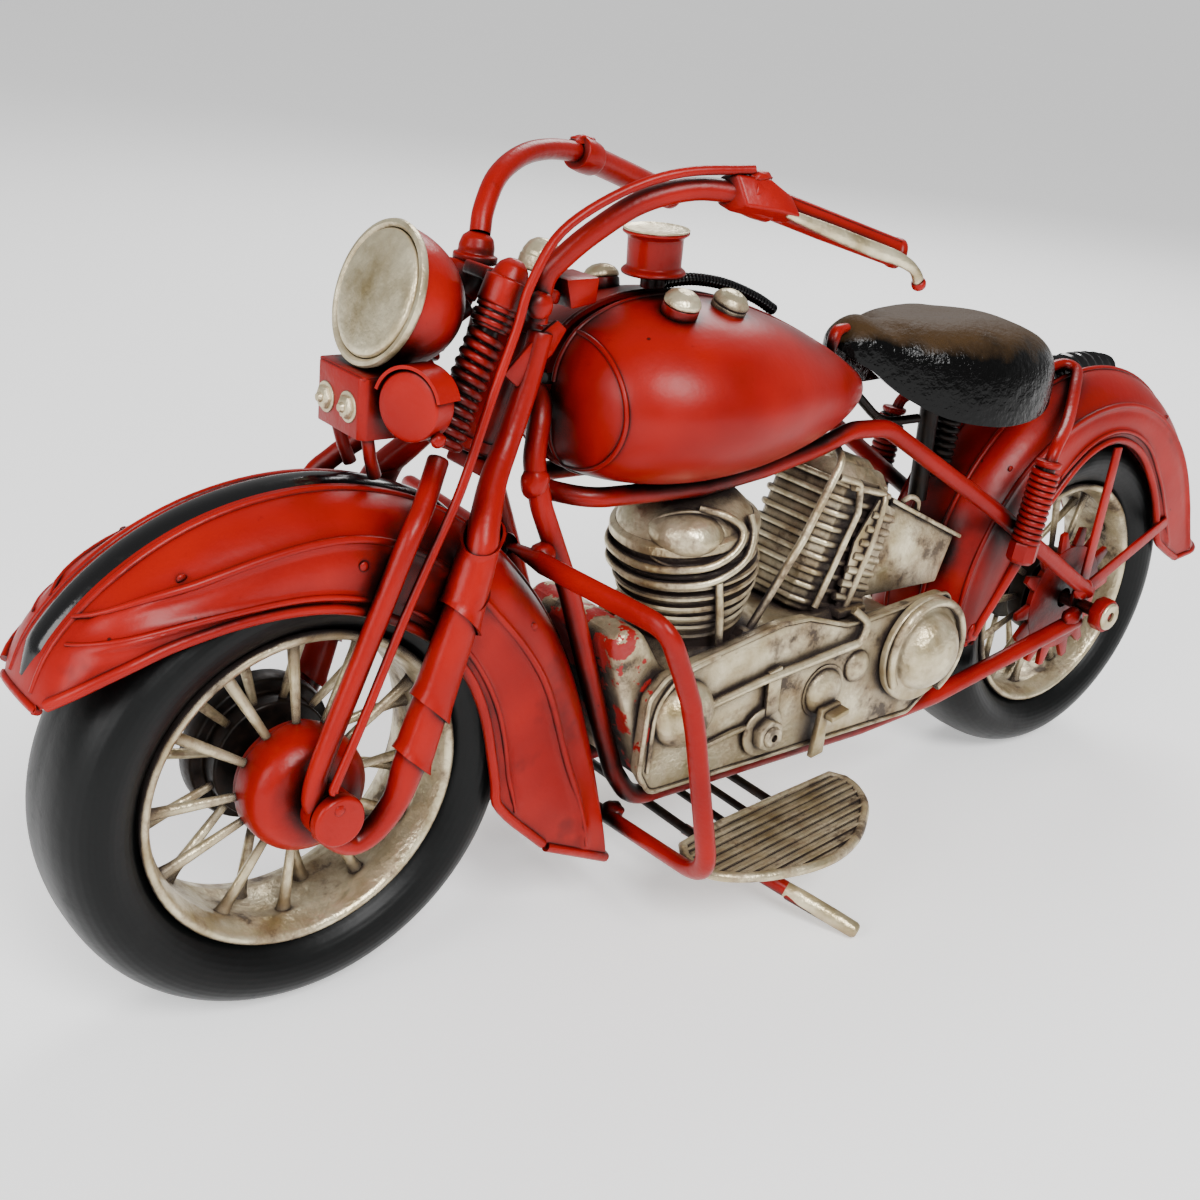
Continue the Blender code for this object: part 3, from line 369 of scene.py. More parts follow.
def piece(name, parts, body, stands_for=(), angle=38.0):
    """Joins (mesh, finish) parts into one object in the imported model's frame."""
    bm = bmesh.new()
    finishes = []
    for mesh, made_of in parts:
        if made_of not in finishes:
            finishes.append(made_of)
        index = finishes.index(made_of)
        start = len(bm.faces)
        bm.from_mesh(mesh)
        bm.faces.ensure_lookup_table()
        for face in bm.faces[start:]:
            face.material_index = index
            face.smooth = True
    bm.transform(TO_FRAME)
    joined = bpy.data.meshes.new(name)
    bm.to_mesh(joined)
    bm.free()
    joined.set_sharp_from_angle(angle=math.radians(angle))
    for made_of in finishes:
        joined.materials.append(made_of)
    obj = bpy.data.objects.new(name, joined)
    bpy.context.scene.collection.objects.link(obj)
    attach(obj, body)
    if stands_for:
        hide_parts(*([stands_for] if isinstance(stands_for, str) else stands_for))
    MADE.append((name, len(joined.polygons)))
    return obj


# %% Skins, turned pieces, bars and plates
def lofted(rings, closed=False, capped=True, wrap=True):
    """Skin over rings of points; wrap closes each ring, closed joins the last ring to the first."""
    def build(bm):
        rows = [[bm.verts.new(Vector(p)) for p in ring] for ring in rings]
        pairs = list(zip(rows, rows[1:])) + ([(rows[-1], rows[0])] if closed else [])
        for a, b in pairs:
            for i in range(len(a) if wrap else len(a) - 1):
                j = (i + 1) % len(a)
                bm.faces.new((a[i], a[j], b[j], b[i]))
        if capped and not closed and wrap:
            bm.faces.new(rows[0])
            bm.faces.new(rows[-1])

    return raw_mesh(build)


def turned(profile, at, axis, steps=48, wobble=0.0, seed=0.0):
    """Turns (radius, height) pairs about an axis; a hand-made piece wobbles a little."""
    turn = Vector(axis).normalized().to_track_quat("Z", "Y").to_matrix()
    closed = profile[0][0] > 0.01 and profile[-1][0] > 0.01
    rings = []
    for k in range(steps):
        a = 2 * math.pi * k / steps
        out = Vector((math.cos(a), math.sin(a), 0.0))
        ring = []
        for r, h in profile:
            swell = 1.0 + wobble * noise.noise(out * 1.7 + Vector((seed, h * 0.05, 3.0)))
            ring.append(Vector(at) + turn @ (out * r * swell + Vector((0.0, 0.0, h))))
        rings.append(ring)

    def build(bm):
        rows = [[bm.verts.new(p) for p in ring] for ring in rings]
        count = len(profile)
        for a, b in zip(rows, rows[1:] + rows[:1]):
            for i in range(count if closed else count - 1):
                j = (i + 1) % count
                bm.faces.new((a[i], a[j], b[j], b[i]))
        bmesh.ops.remove_doubles(bm, verts=bm.verts, dist=0.0005)
        bmesh.ops.dissolve_degenerate(bm, edges=bm.edges, dist=0.0001)

    return raw_mesh(build)


def soft_profile(points, radius=0.5, steps=3):
    """A turned outline with its inner corners rounded."""
    out = [points[0]]
    for before, corner, after in zip(points, points[1:], points[2:]):
        c = Vector(corner)
        a, b = Vector(before) - c, Vector(after) - c
        reach = min(radius, 0.45 * a.length, 0.45 * b.length)
        start, end = c + a.normalized() * reach, c + b.normalized() * reach
        for i in range(steps + 1):
            t = i / steps
            p = (1 - t) ** 2 * start + 2 * t * (1 - t) * c + t * t * end
            out.append((p.x, p.y))
    out.append(points[-1])
    return out


def through(points, per=6):
    """A smooth curve through the points (Catmull-Rom), per steps to each span."""
    pts = [Vector(p) for p in points]
    pts = [pts[0] * 2 - pts[1], *pts, pts[-1] * 2 - pts[-2]]
    out = []
    for p0, p1, p2, p3 in zip(pts, pts[1:], pts[2:], pts[3:]):
        for i in range(per):
            t = i / per
            out.append(
                0.5 * (2 * p1 + (p2 - p0) * t + (2 * p0 - 5 * p1 + 4 * p2 - p3) * t * t
                       + (3 * p1 - p0 - 3 * p2 + p3) * t ** 3)
            )
    out.append(pts[-2])
    return out


def bent(points, radius, steps=8, loop=False):
    """Points of a rod bent to one radius at each inner corner."""
    pts = [Vector(p) for p in points]
    triples = list(zip(pts, pts[1:], pts[2:]))
    if loop:
        triples = [(pts[i - 1], pts[i], pts[(i + 1) % len(pts)]) for i in range(len(pts))]
    path = [] if loop else [pts[0]]
    for before, corner, after in triples:
        a, b = before - corner, after - corner
        reach = min(radius / math.tan(max(a.angle(b), 0.05) / 2), 0.48 * a.length, 0.48 * b.length)
        start, end = corner + a.normalized() * reach, corner + b.normalized() * reach
        for i in range(steps + 1):
            t = i / steps
            path.append((1 - t) ** 2 * start + 2 * t * (1 - t) * corner + t * t * end)
    if not loop:
        path.append(pts[-1])
    return path


def swept(path, radii, sides=20, squash=1.0):
    """A round or flattened bar whose radius changes along its path, with rounded ends."""
    path = [Vector(p) for p in path]
    if len(radii) != len(path):
        radii = [
            radii[min(int(s), len(radii) - 2)] * (1 - (s - min(int(s), len(radii) - 2)))
            + radii[min(int(s), len(radii) - 2) + 1] * (s - min(int(s), len(radii) - 2))
            for s in (i * (len(radii) - 1) / (len(path) - 1) for i in range(len(path)))
        ]
    rings, side = [], Vector((0.0, 1.0, 0.0))
    for i, place in enumerate(path):
        ahead = (path[min(i + 1, len(path) - 1)] - path[max(i - 1, 0)]).normalized()
        side = (side - ahead * side.dot(ahead)).normalized()
        up = ahead.cross(side)
        rings.append([
            place + radii[i] * (math.cos(a) * side * squash + math.sin(a) * up)
            for a in (2 * math.pi * k / sides for k in range(sides))
        ])
    return rounded(lofted(rings), min(radii[0], radii[-1]) * 0.3, 2, 60.0)


def plate(outline, low, high, plane="XZ", edge=0.3, segments=2):
    """A plate with rounded edges: an outline in plane XZ or XY, from low to high along the third axis."""
    def at(u, v, w):
        return (u, w, v) if plane == "XZ" else (u, v, w)

    return rounded(lofted([[at(u, v, w) for u, v in outline] for w in (low, high)]), edge, segments)


def flip(points):
    """The same points on the other side of the machine."""
    return [(p[0], -p[1], p[2]) for p in points]


def other_side(mesh):
    """A copy of a mesh on the other side of the machine, its faces still outwards."""
    made = mesh.copy()
    made.transform(Matrix.Diagonal((1.0, -1.0, 1.0, 1.0)))
    made.flip_normals()
    return made


def blob(at, radii, seed=0.0, lift=0.18):
    """A lump of solder or filler: a small ball pushed about by noise."""
    def build(bm):
        bmesh.ops.create_icosphere(bm, subdivisions=3, radius=1.0)
        for v in bm.verts:
            swell = 1.0 + lift * noise.noise(v.co * 1.6 + Vector((seed, seed * 0.7, 0.0)))
            v.co = Vector((v.co.x * radii[0], v.co.y * radii[1], v.co.z * radii[2])) * swell + Vector(at)

    return raw_mesh(build)


# %% [markdown]
# ## Geometry Nodes for what repeats
# Rods follow a path, springs follow a helix, and spokes, fins, board ribs, teeth and hose rings are one
# small shape set down many times. Five short trees do all of it. Each starts from the mesh it is given
# and ends in Realize Instances and Set Material, so that what comes out is plain geometry.

# %% Building and running a tree
def new_tree(name, inputs):
    """A geometry tree with a geometry input, named inputs (title, kind, value), and a geometry output."""
    tree = bpy.data.node_groups.new(name, "GeometryNodeTree")
    tree.interface.new_socket("Geometry", in_out="INPUT", socket_type="NodeSocketGeometry")
    for title, kind, value in inputs:
        socket = tree.interface.new_socket(title, in_out="INPUT", socket_type=kind)
        socket.default_value = value
    tree.interface.new_socket("Geometry", in_out="OUTPUT", socket_type="NodeSocketGeometry")
    start = add_node(tree, "NodeGroupInput")
    return tree, start.outputs


def end_tree(tree, geometry, finish):
    """Every tree ends the same way: realise the copies, then give them their finish."""
    real = add_node(tree, "GeometryNodeRealizeInstances", {"Geometry": geometry})
    dressed = add_node(tree, "GeometryNodeSetMaterial", {"Geometry": real.outputs[0], "Material": finish})
    add_node(tree, "NodeGroupOutput", {"Geometry": dressed.outputs[0]})


def grown(tree, mesh, finish, **values):
    """Runs a tree on a mesh with its named inputs set, and returns the plain mesh it makes."""
    obj = bpy.data.objects.new("grown", mesh)
    bpy.context.scene.collection.objects.link(obj)
    made = obj.modifiers.new("tree", "NODES")
    made.node_group = tree
    names = {s.name: s.identifier for s in tree.interface.items_tree if s.in_out == "INPUT"}
    made[names["Finish"]] = finish
    for title, value in values.items():
        made[names[title.replace("_", " ")]] = value
    graph = bpy.context.evaluated_depsgraph_get()
    result = bpy.data.meshes.new_from_object(obj.evaluated_get(graph))
    bpy.data.objects.remove(obj)
    return result


# %% The five trees
def bent_rod_tree():
    tree, given = new_tree("bent_rod", [
        ("Radius", "NodeSocketFloat", 1.0), ("Sides", "NodeSocketInt", 16),
        ("Finish", "NodeSocketMaterial", None),
    ])
    path = add_node(tree, "GeometryNodeMeshToCurve", {"Mesh": given["Geometry"]})
    ring = add_node(
        tree, "GeometryNodeCurvePrimitiveCircle", {"Radius": given["Radius"], "Resolution": given["Sides"]}
    )
    tube = add_node(
        tree, "GeometryNodeCurveToMesh",
        {"Curve": path.outputs[0], "Profile Curve": ring.outputs[0], "Fill Caps": True},
    )
    end_tree(tree, tube.outputs[0], given["Finish"])
    return tree


def coil_tree():
    tree, given = new_tree("spring_coil", [
        ("Turns", "NodeSocketFloat", 6.0), ("Coil Radius", "NodeSocketFloat", 3.0),
        ("Length", "NodeSocketFloat", 20.0), ("Wire", "NodeSocketFloat", 0.8),
        ("Finish", "NodeSocketMaterial", None),
    ])
    helix = add_node(tree, "GeometryNodeCurveSpiral", {
        "Resolution": 20, "Rotations": given["Turns"], "Start Radius": given["Coil Radius"],
        "End Radius": given["Coil Radius"], "Height": given["Length"],
    })
    ring = add_node(tree, "GeometryNodeCurvePrimitiveCircle", {"Radius": given["Wire"], "Resolution": 10})
    wire = add_node(
        tree, "GeometryNodeCurveToMesh",
        {"Curve": helix.outputs[0], "Profile Curve": ring.outputs[0], "Fill Caps": True},
    )
    both = add_node(tree, "GeometryNodeJoinGeometry")
    tree.links.new(given["Geometry"], both.inputs[0])
    tree.links.new(wire.outputs[0], both.inputs[0])
    end_tree(tree, both.outputs[0], given["Finish"])
    return tree


def round_axle_tree():
    tree, given = new_tree("round_the_axle", [
        ("Count", "NodeSocketInt", 12), ("Start Angle", "NodeSocketFloat", 0.0),
        ("Unevenness", "NodeSocketFloat", 0.0), ("Finish", "NodeSocketMaterial", None),
    ])
    dots = add_node(tree, "GeometryNodeMeshLine", {"Count": given["Count"], "Offset": (0.0, 0.0, 0.0)})
    index = add_node(tree, "GeometryNodeInputIndex").outputs[0]
    share = add_node(tree, "ShaderNodeMath", {0: index, 1: given["Count"]}, operation="DIVIDE")
    angle = add_node(
        tree, "ShaderNodeMath", {0: share.outputs[0], 1: 2 * math.pi, 2: given["Start Angle"]},
        operation="MULTIPLY_ADD",
    )
    stray = add_node(tree, "FunctionNodeRandomValue", {"ID": index, "Seed": 4}, data_type="FLOAT")
    centred = add_node(tree, "ShaderNodeMath", {0: stray.outputs[1], 1: 0.5}, operation="SUBTRACT")
    uneven = add_node(
        tree, "ShaderNodeMath", {0: centred.outputs[0], 1: given["Unevenness"], 2: angle.outputs[0]},
        operation="MULTIPLY_ADD",
    )
    turn = add_node(tree, "ShaderNodeCombineXYZ", {"Y": uneven.outputs[0]})
    copies = add_node(tree, "GeometryNodeInstanceOnPoints", {
        "Points": dots.outputs[0], "Instance": given["Geometry"], "Rotation": turn.outputs[0],
    })
    end_tree(tree, copies.outputs[0], given["Finish"])
    return tree


def along_line_tree():
    tree, given = new_tree("along_a_line", [
        ("Count", "NodeSocketInt", 8), ("Step", "NodeSocketVector", (0.0, 0.0, 1.0)),
        ("Unevenness", "NodeSocketFloat", 0.0), ("Finish", "NodeSocketMaterial", None),
    ])
    dots = add_node(tree, "GeometryNodeMeshLine", {"Count": given["Count"], "Offset": given["Step"]})
    index = add_node(tree, "GeometryNodeInputIndex").outputs[0]
    stray = add_node(tree, "FunctionNodeRandomValue", {"ID": index, "Seed": 9}, data_type="FLOAT")
    low = add_node(tree, "ShaderNodeMath", {0: 1.0, 1: given["Unevenness"]}, operation="SUBTRACT")
    size = add_node(tree, "ShaderNodeMath", {0: stray.outputs[1], 1: given["Unevenness"],
        2: low.outputs[0]},
                    operation="MULTIPLY_ADD")
    copies = add_node(tree, "GeometryNodeInstanceOnPoints", {
        "Points": dots.outputs[0], "Instance": given["Geometry"], "Scale": size.outputs[0],
    })
    end_tree(tree, copies.outputs[0], given["Finish"])
    return tree


def along_path_tree():
    tree, given = new_tree("rings_along_a_path", [
        ("Spacing", "NodeSocketFloat", 1.0), ("Ring Radius", "NodeSocketFloat", 1.0),
        ("Wire", "NodeSocketFloat", 0.3), ("Finish", "NodeSocketMaterial", None),
    ])
    path = add_node(tree, "GeometryNodeMeshToCurve", {"Mesh": given["Geometry"]})
    dots = add_node(tree, "GeometryNodeCurveToPoints",
        {"Curve": path.outputs[0], "Length": given["Spacing"]},
                    mode="LENGTH")
    hoop = add_node(tree, "GeometryNodeCurvePrimitiveCircle",
        {"Radius": given["Ring Radius"], "Resolution": 20})
    wire = add_node(tree, "GeometryNodeCurvePrimitiveCircle", {"Radius": given["Wire"], "Resolution": 8})
    ring = add_node(tree, "GeometryNodeCurveToMesh",
                    {"Curve": hoop.outputs[0], "Profile Curve": wire.outputs[0]})
    copies = add_node(tree, "GeometryNodeInstanceOnPoints", {
        "Points": dots.outputs["Points"], "Instance": ring.outputs[0], "Rotation": dots.outputs["Rotation"],
    })
    end_tree(tree, copies.outputs[0], given["Finish"])
    return tree


BENT_ROD = bent_rod_tree()
COIL = coil_tree()
ROUND_AXLE = round_axle_tree()
ALONG_LINE = along_line_tree()
ALONG_PATH = along_path_tree()


def line_mesh(points, loop=False):
    """A bare polyline for the trees that follow a path."""
    made = bpy.data.meshes.new("path")
    edges = [(i, i + 1) for i in range(len(points) - 1)] + ([(len(points) - 1, 0)] if loop else [])
    made.from_pydata([tuple(p) for p in points], edges, [])
    return made


def rod(points, radius, finish, bend=6.0, loop=False, sides=16, smooth=False):
    """A bent round rod, from corners and a bending radius or from a smooth route."""
    path = through(points) if smooth else bent(points, bend, 8, loop)
    return grown(BENT_ROD, line_mesh(path, loop), finish, Radius=radius, Sides=sides)


def placed(mesh, at, axis):
    """A mesh built about +Z, moved so that its Z runs along an axis from a point."""
    turn = Vector(axis).normalized().to_track_quat("Z", "Y").to_matrix().to_4x4()
    mesh.transform(Matrix.Translation(Vector(at)) @ turn)
    return mesh


print("trees:", [g.name for g in bpy.data.node_groups if g.type == "GEOMETRY"])


# %% [markdown]
# ## Wheels
# Each tyre is a smooth black moulding with a round section. Inside it sits a dished tin rim, joined to
# the hub by two rows of thick tapered pins. One pin is lofted, and a tree sets twelve down on each side,
# slightly uneven, as hand soldering leaves them.

# %% Tyres, rims and pins
SPOKES = 12
HUB_R = 10.3
RIM_R = 26.0


def tyre(axle):
    half = [
        (26.5, 5.2), (26.9, 7.0), (28.4, 9.0), (30.6, 10.5), (33.0, 11.1), (35.4, 10.3), (37.3, 8.3),
        (38.5, 5.6), (38.95, 2.6),
    ]
    points = [(r, y) for r, y in half] + [(39.0, 0.0)] + [(r, -y) for r, y in reversed(half)]
    profile = [(p.x, p.y) for p in through([(r, y, 0.0) for r, y in points], 4)]
    return turned(profile, axle, (0, 1, 0), 128)


def rim(axle):
    half = [
        (24.7, 0.0), (24.7, 2.4), (24.3, 4.6), (24.9, 7.0), (25.5, 8.6), (26.3, 9.1), (27.1, 8.7),
        (26.8, 7.4), (26.2, 6.2), (26.2, 0.0),
    ]
    full = half + [(r, -y) for r, y in reversed(half[1:-1])]
    return turned(soft_profile(full + [full[0]], 0.5), axle, (0, 1, 0), 96, 0.003, axle.x)


def pins(axle, finish, side, start):
    inner, outer = Vector((HUB_R - 2.0, side * 4.8, 0.0)), Vector((RIM_R - 1.0, side * 3.0, 0.0))
    path = [inner.lerp(outer, t) for t in (0.0, 0.1, 0.5, 0.85, 0.95, 1.0)]
    one = lofted([
        [p + Vector((0, r * math.cos(a) * 0.85, r * math.sin(a)))
            for a in (math.pi * k / 6 for k in range(12))]
        for p, r in zip(path, (0.75, 0.7, 0.88, 1.0, 1.25, 1.6))
    ])
    made = grown(ROUND_AXLE, one, finish, Count=SPOKES, Start_Angle=start, Unevenness=0.09)
    made.transform(Matrix.Translation(axle))
    return made


for name, axle, finish, body in (
    ("front", FRONT_AXLE, TYRE_FRONT, "front_wheel"), ("rear", REAR_AXLE, TYRE_REAR, "rear_wheel"),
):
    piece(name + "_tyre_moulding", [(tyre(axle), finish)], body, name + "_tyre")
    rows = [pins(axle, SILVER, 1, 0.0), pins(axle, SILVER, -1, math.pi / SPOKES)]
    parts = [(rim(axle), SILVER)] + [(row, SILVER) for row in rows]
    piece(name + "_rim_and_pins", parts, body, name + "_rim_with_spokes")

# %% [markdown]
# The front hub is a red bell with a plain shaft behind it, and a dark drum sits on the right. The rear
# wheel has a red sprocket with teeth cut by hand, so they come out uneven.

# %% Hubs, drum, sprocket and axles
BORE = 1.8
bell = soft_profile([
    (BORE, 11.9), (5.8, 11.9), (8.2, 11.3), (9.8, 9.6), (HUB_R, 7.6), (HUB_R, 4.2), (9.6, 3.6),
    (9.8, 2.4), (5.0, 2.4), (5.0, -2.6), (BORE, -2.6),
], 0.9, 4)
piece("front_hub_bell", [(turned(bell, FRONT_AXLE, (0, 1, 0), 56, 0.008), RED)], "front_wheel",
      "front_hub")
drum = soft_profile([
    (BORE, -2.9), (HUB_R, -2.9), (HUB_R, -6.9), (12.4, -6.9), (12.9, -8.4), (12.9, -10.4), (11.6, -11.6),
    (9.0, -11.4), (8.6, -10.6), (6.0, -10.6), (5.4, -12.3), (BORE, -12.3),
], 0.5)
piece("front_brake_drum_turned", [(turned(drum, FRONT_AXLE, (0, 1, 0), 56), DARK)], "front_wheel",
      "front_brake_drum")
core = soft_profile([
    (BORE, 9.0), (6.0, 9.0), (6.0, 7.2), (HUB_R, 6.6), (HUB_R, 2.4), (5.0, 2.4), (5.0, -3.0),
    (HUB_R, -3.0), (HUB_R, -7.0), (BORE, -7.0),
], 0.5)
piece("rear_hub_turned", [(turned(core, REAR_AXLE, (0, 1, 0), 48), DARK)], "rear_wheel",
    "rear_hub")

tooth = plate([(11.4, -1.9), (13.0, -1.7), (17.0, -0.9), (17.1, 0.8), (13.0, 1.8), (11.4, 2.0)], 9.4, 10.6,
              edge=0.2)
teeth = grown(ROUND_AXLE, tooth, RED, Count=14, Start_Angle=0.1, Unevenness=0.16)
teeth.transform(Matrix.Translation(REAR_AXLE))
disc = turned(soft_profile([(2.4, 10.7), (12.8, 10.7), (12.8, 9.3), (2.4, 9.3)], 0.2), REAR_AXLE, (0, 1, 0),
    64)
piece("rear_sprocket_plate", [(teeth, RED), (disc, RED)], "rear_wheel", "rear_sprocket")

AXLE_R = 1.5
front_spindle = soft_profile([
    (0.0, 19.4), (3.9, 19.4), (4.3, 18.9), (4.3, 17.4), (3.9, 17.2), (AXLE_R, 17.2), (AXLE_R, -17.2),
    (3.9, -17.2), (4.3, -17.4), (4.3, -18.9), (3.9, -19.4), (0.0, -19.4),
], 0.25)
plate_dent = [blob(FRONT_AXLE + Vector((0.4, 19.35, 2.3)), (0.9, 0.35, 0.9), 2.0)]
piece("front_axle_spindle", [(turned(front_spindle, FRONT_AXLE, (0, 1, 0), 48, 0.02, 5.0), RED)]
      + [(m, RED) for m in plate_dent], "steering", "front_axle")


def nut_outline(size, centre, corners=6, turn=0.0):
    return [
        (centre[0] + size * math.cos(turn + 2 * math.pi * k / corners),
         centre[1] + size * math.sin(turn + 2 * math.pi * k / corners)) for k in range(corners)
    ]


rear_parts = [(turned(soft_profile([(0.0, 20.4), (AXLE_R, 20.4), (AXLE_R, -20.4), (0.0, -20.4)], 0.1),
                      REAR_AXLE, (0, 1, 0), 24), RED)]
for side in (LEFT, RIGHT):
    low, high = sorted((side * 19.8, side * 23.0))
    rear_parts.append((plate(nut_outline(3.95, (REAR_AXLE.x, REAR_AXLE.z), 8, 0.3), low, high, edge=0.35),
        RED))
    ring = soft_profile([(1.2, 23.5), (2.7, 23.6), (3.2, 23.3), (3.2, 22.8), (1.2, 22.6)], 0.2)
    face = turned(ring, REAR_AXLE, (0, 1, 0), 32, 0.03)
    rear_parts.append((face if side == LEFT else other_side(face), SILVER_CLEAN))
piece("rear_axle_nuts", rear_parts, "chassis", "rear_axle")
print("wheel pieces:", MADE)


# %% [markdown]
# ## Mudguards
# Each guard is one sheet: an arched section swept round the wheel. The section's crown, shoulder and
# lower edge are short tables of radius by angle, read through a smooth curve. Pressed ribs are a small
# outward swell of the same sheet with a fine ridge along its middle; the rolled edges and the wires
# along the crest are rods laid on it.

# %% Tables of radius by angle
def table(points):
    """A function that reads a table of (angle, value) through a smooth monotone curve."""
    def read(angle):
        if angle <= points[0][0]:
            return points[0][1]
        for i, ((a, low), (b, high)) in enumerate(zip(points, points[1:])):
            if angle <= b:
                t = (angle - a) / (b - a)
                before = points[i - 1] if i else (a, low)
                after = points[i + 2] if i + 2 < len(points) else (b, high)
                m0 = (high - before[1]) / (b - before[0]) * (b - a)
                m1 = (after[1] - low) / (after[0] - a) * (b - a)
                t2, t3 = t * t, t * t * t
                start = (2 * t3 - 3 * t2 + 1) * low + (t3 - 2 * t2 + t) * m0
                return start + (3 * t2 - 2 * t3) * high + (t3 - t2) * m1
        return points[-1][1]

    return read


FRONT_GUARD = {
    "crown": [
        (28.5, 46.6), (40, 48.2), (90, 48.4), (140, 49.6), (160, 52.0), (180, 56.0), (195, 61.0),
        (205, 66.0),
    ],
    "edge": [
        (28.5, 46.0), (33, 45.0), (40, 42.8), (48, 40.4), (60, 37.0), (75, 34.2), (95, 32.0), (115, 30.4),
        (150, 30.0), (175, 30.6), (190, 32.6), (195, 33.8), (200, 39.0), (205, 49.0),
    ],
    "half": [(28.5, 6.0), (32, 9.0), (38, 11.6), (48, 13.3), (180, 13.4), (205, 14.4)],
    "shoulder": [(28.5, 2.5), (40, 7.0), (60, 10.5), (150, 10.5), (180, 7.0), (205, 1.4)],
}
REAR_GUARD = {
    "crown": [
        (-5, 45.0), (20, 47.4), (45, 50.4), (70, 53.0), (100, 53.6), (150, 51.8), (168, 53.0),
        (174, 55.6),
    ],
    "edge": [
        (-5, 36.5), (10, 31.4), (35, 30.6), (58, 32.8), (78, 37.0), (92, 38.4), (108, 37.0), (124, 34.2),
        (145, 31.8), (160, 31.6), (168, 35.6), (174, 41.0),
    ],
    "half": [(-5, 13.4), (174, 13.4)],
    "shoulder": [(-5, 8.0), (30, 10.5), (150, 10.5), (174, 8.0)],
}
# ribs: (angle, radius) along each, then height and half width
FRONT_RIBS = [
    ([
        (45, 48.0), (52, 46.2), (64, 43.6), (78, 42.6), (102, 42.5), (125, 40.6), (140, 40.0),
        (160, 42.2), (184, 47.0), (203, 57.8),
    ], 0.85, 0.75),
    ([(41, 47.4), (50, 43.2), (60, 39.8), (72, 37.0), (86, 35.2), (104, 33.6)], 0.75, 0.6),
    ([(112, 33.4), (135, 32.6), (160, 32.9), (185, 34.9), (197, 38.4)], 0.5, 0.6),
]
REAR_RIBS = [
    ([(-2, 41.0), (25, 42.6), (60, 45.4), (95, 46.6), (130, 45.6), (160, 44.6), (172, 46.4)], 0.7, 0.7),
    ([(62, 36.2), (78, 39.8), (92, 41.0), (110, 39.6), (128, 36.4), (150, 34.8), (166, 36.4)], 0.5, 0.6),
]


# %% The pressed sheet, its rolled edge and its rods
ALONG, ARCH, SKIRT = 160, 40, 20


def on_arc(axle, angle, radius, y):
    a = math.radians(angle)
    return Vector((axle.x + radius * math.cos(a), y, axle.z + radius * math.sin(a)))


def guard_skin(axle, guard, ribs):
    crown, edge, half, shoulder = (table(guard[key]) for key in ("crown", "edge", "half", "shoulder"))
    start, end = guard["crown"][0][0], guard["crown"][-1][0]
    ribs = [(table(route), route[0][0], route[-1][0], height, wide) for route, height, wide in ribs]
    rows = []
    for i in range(ALONG + 1):
        angle = start + (end - start) * i / ALONG
        top, low, wide = crown(angle), edge(angle), half(angle)
        drop = min(top - low - 0.1, shoulder(angle))
        section = [(0.0, top)]
        for k in range(1, ARCH + 1):
            turn = math.radians(90 * k / ARCH)
            section.append((wide * math.sin(turn) ** 0.92, top - drop * (1 - math.cos(turn))))
        foot = min(low, top - drop - 0.2)
        for k in range(1, SKIRT + 1):
            section.append((wide, (top - drop) + (foot - top + drop) * k / SKIRT))
        pressed = []
        for y, r in section:
            out = 0.0
            for route, first, last, height, width in ribs:
                if first - 2 < angle < last + 2 and y > wide * 0.5:
                    fade = min(1.0, (angle - first + 2) / 4, (last + 2 - angle) / 4)
                    out = max(out, fade * height * math.exp(-(((r - route(angle)) / width) ** 2)))
            hand = 0.18 * noise.noise(Vector((angle * 0.05, r * 0.12, axle.x)))
            pressed.append((y + (out + hand) * min(1.0, y / wide),
                r + out * 0.3 * (1 - min(1.0, y / wide))))
        whole = [(-y, r) for y, r in reversed(pressed[1:])] + pressed
        rows.append([on_arc(axle, angle, r, y) for y, r in whole])
    skin = lofted(rows, capped=False, wrap=False)
    # the sheet's outside is away from the axle
    middle = skin.polygons[len(skin.polygons) // 2]
    if middle.normal.dot(middle.center - axle) < 0:
        skin.flip_normals()
    return with_modifiers(skin, ("SOLIDIFY", {"thickness": 0.6, "offset": -1.0}))


def guard_rod(axle, guard, key, y, out, start, end, radius, finish):
    """A wire along one of the guard's lines, at y and raised out from it."""
    read = table(guard[key])
    path = [on_arc(axle, a, read(a) + out, y) for a in (start + (end - start) * i / 60 for i in range(61))]
    return grown(BENT_ROD, line_mesh(path), finish, Radius=radius, Sides=10)


def lip_rods(axle, guard, finish, start, end):
    half = table(guard["half"])
    made = []
    for side in (LEFT, RIGHT):
        read = table(guard["edge"])
        path = [
            on_arc(axle, a, read(a) + 0.5, side * (half(a) - 0.1)) for a in (start + (end - start) * i / 90
                for i in range(91))
        ]
        made.append((grown(BENT_ROD, line_mesh(path), finish, Radius=0.9, Sides=12), finish))
    return made


def on_skin(axle, guard, angle, radius, side, out=0.0):
    """The point of a guard's side at an angle and a radius from the axle, raised out from the sheet."""
    top, drop, wide = (table(guard[key])(angle) for key in ("crown", "shoulder", "half"))
    share = min(1.0, (top - radius) / drop)
    turn = math.acos(1 - share)
    return on_arc(axle, angle, radius + out * math.cos(turn),
        side * (wide * math.sin(turn) ** 0.92 + out * math.sin(turn)))


def rib_rods(axle, guard, ribs, finish):
    """A fine round ridge along the middle of each pressed rib, on both sides, tapering to its ends."""
    made = []
    for route, height, wide in ribs:
        read, start, end = table(route), route[0][0], route[-1][0]
        for side in (LEFT, RIGHT):
            path = [on_skin(axle, guard, start + (end - start) * i / 70,
                read(start + (end - start) * i / 70), side, height * 0.35)
                    for i in range(71)]
            radii = [0.45 * wide + 0.45 * wide * min(1.0, i / 6, (70 - i) / 6) for i in range(71)]
            made.append((swept(path, radii, 10), finish))
    return made


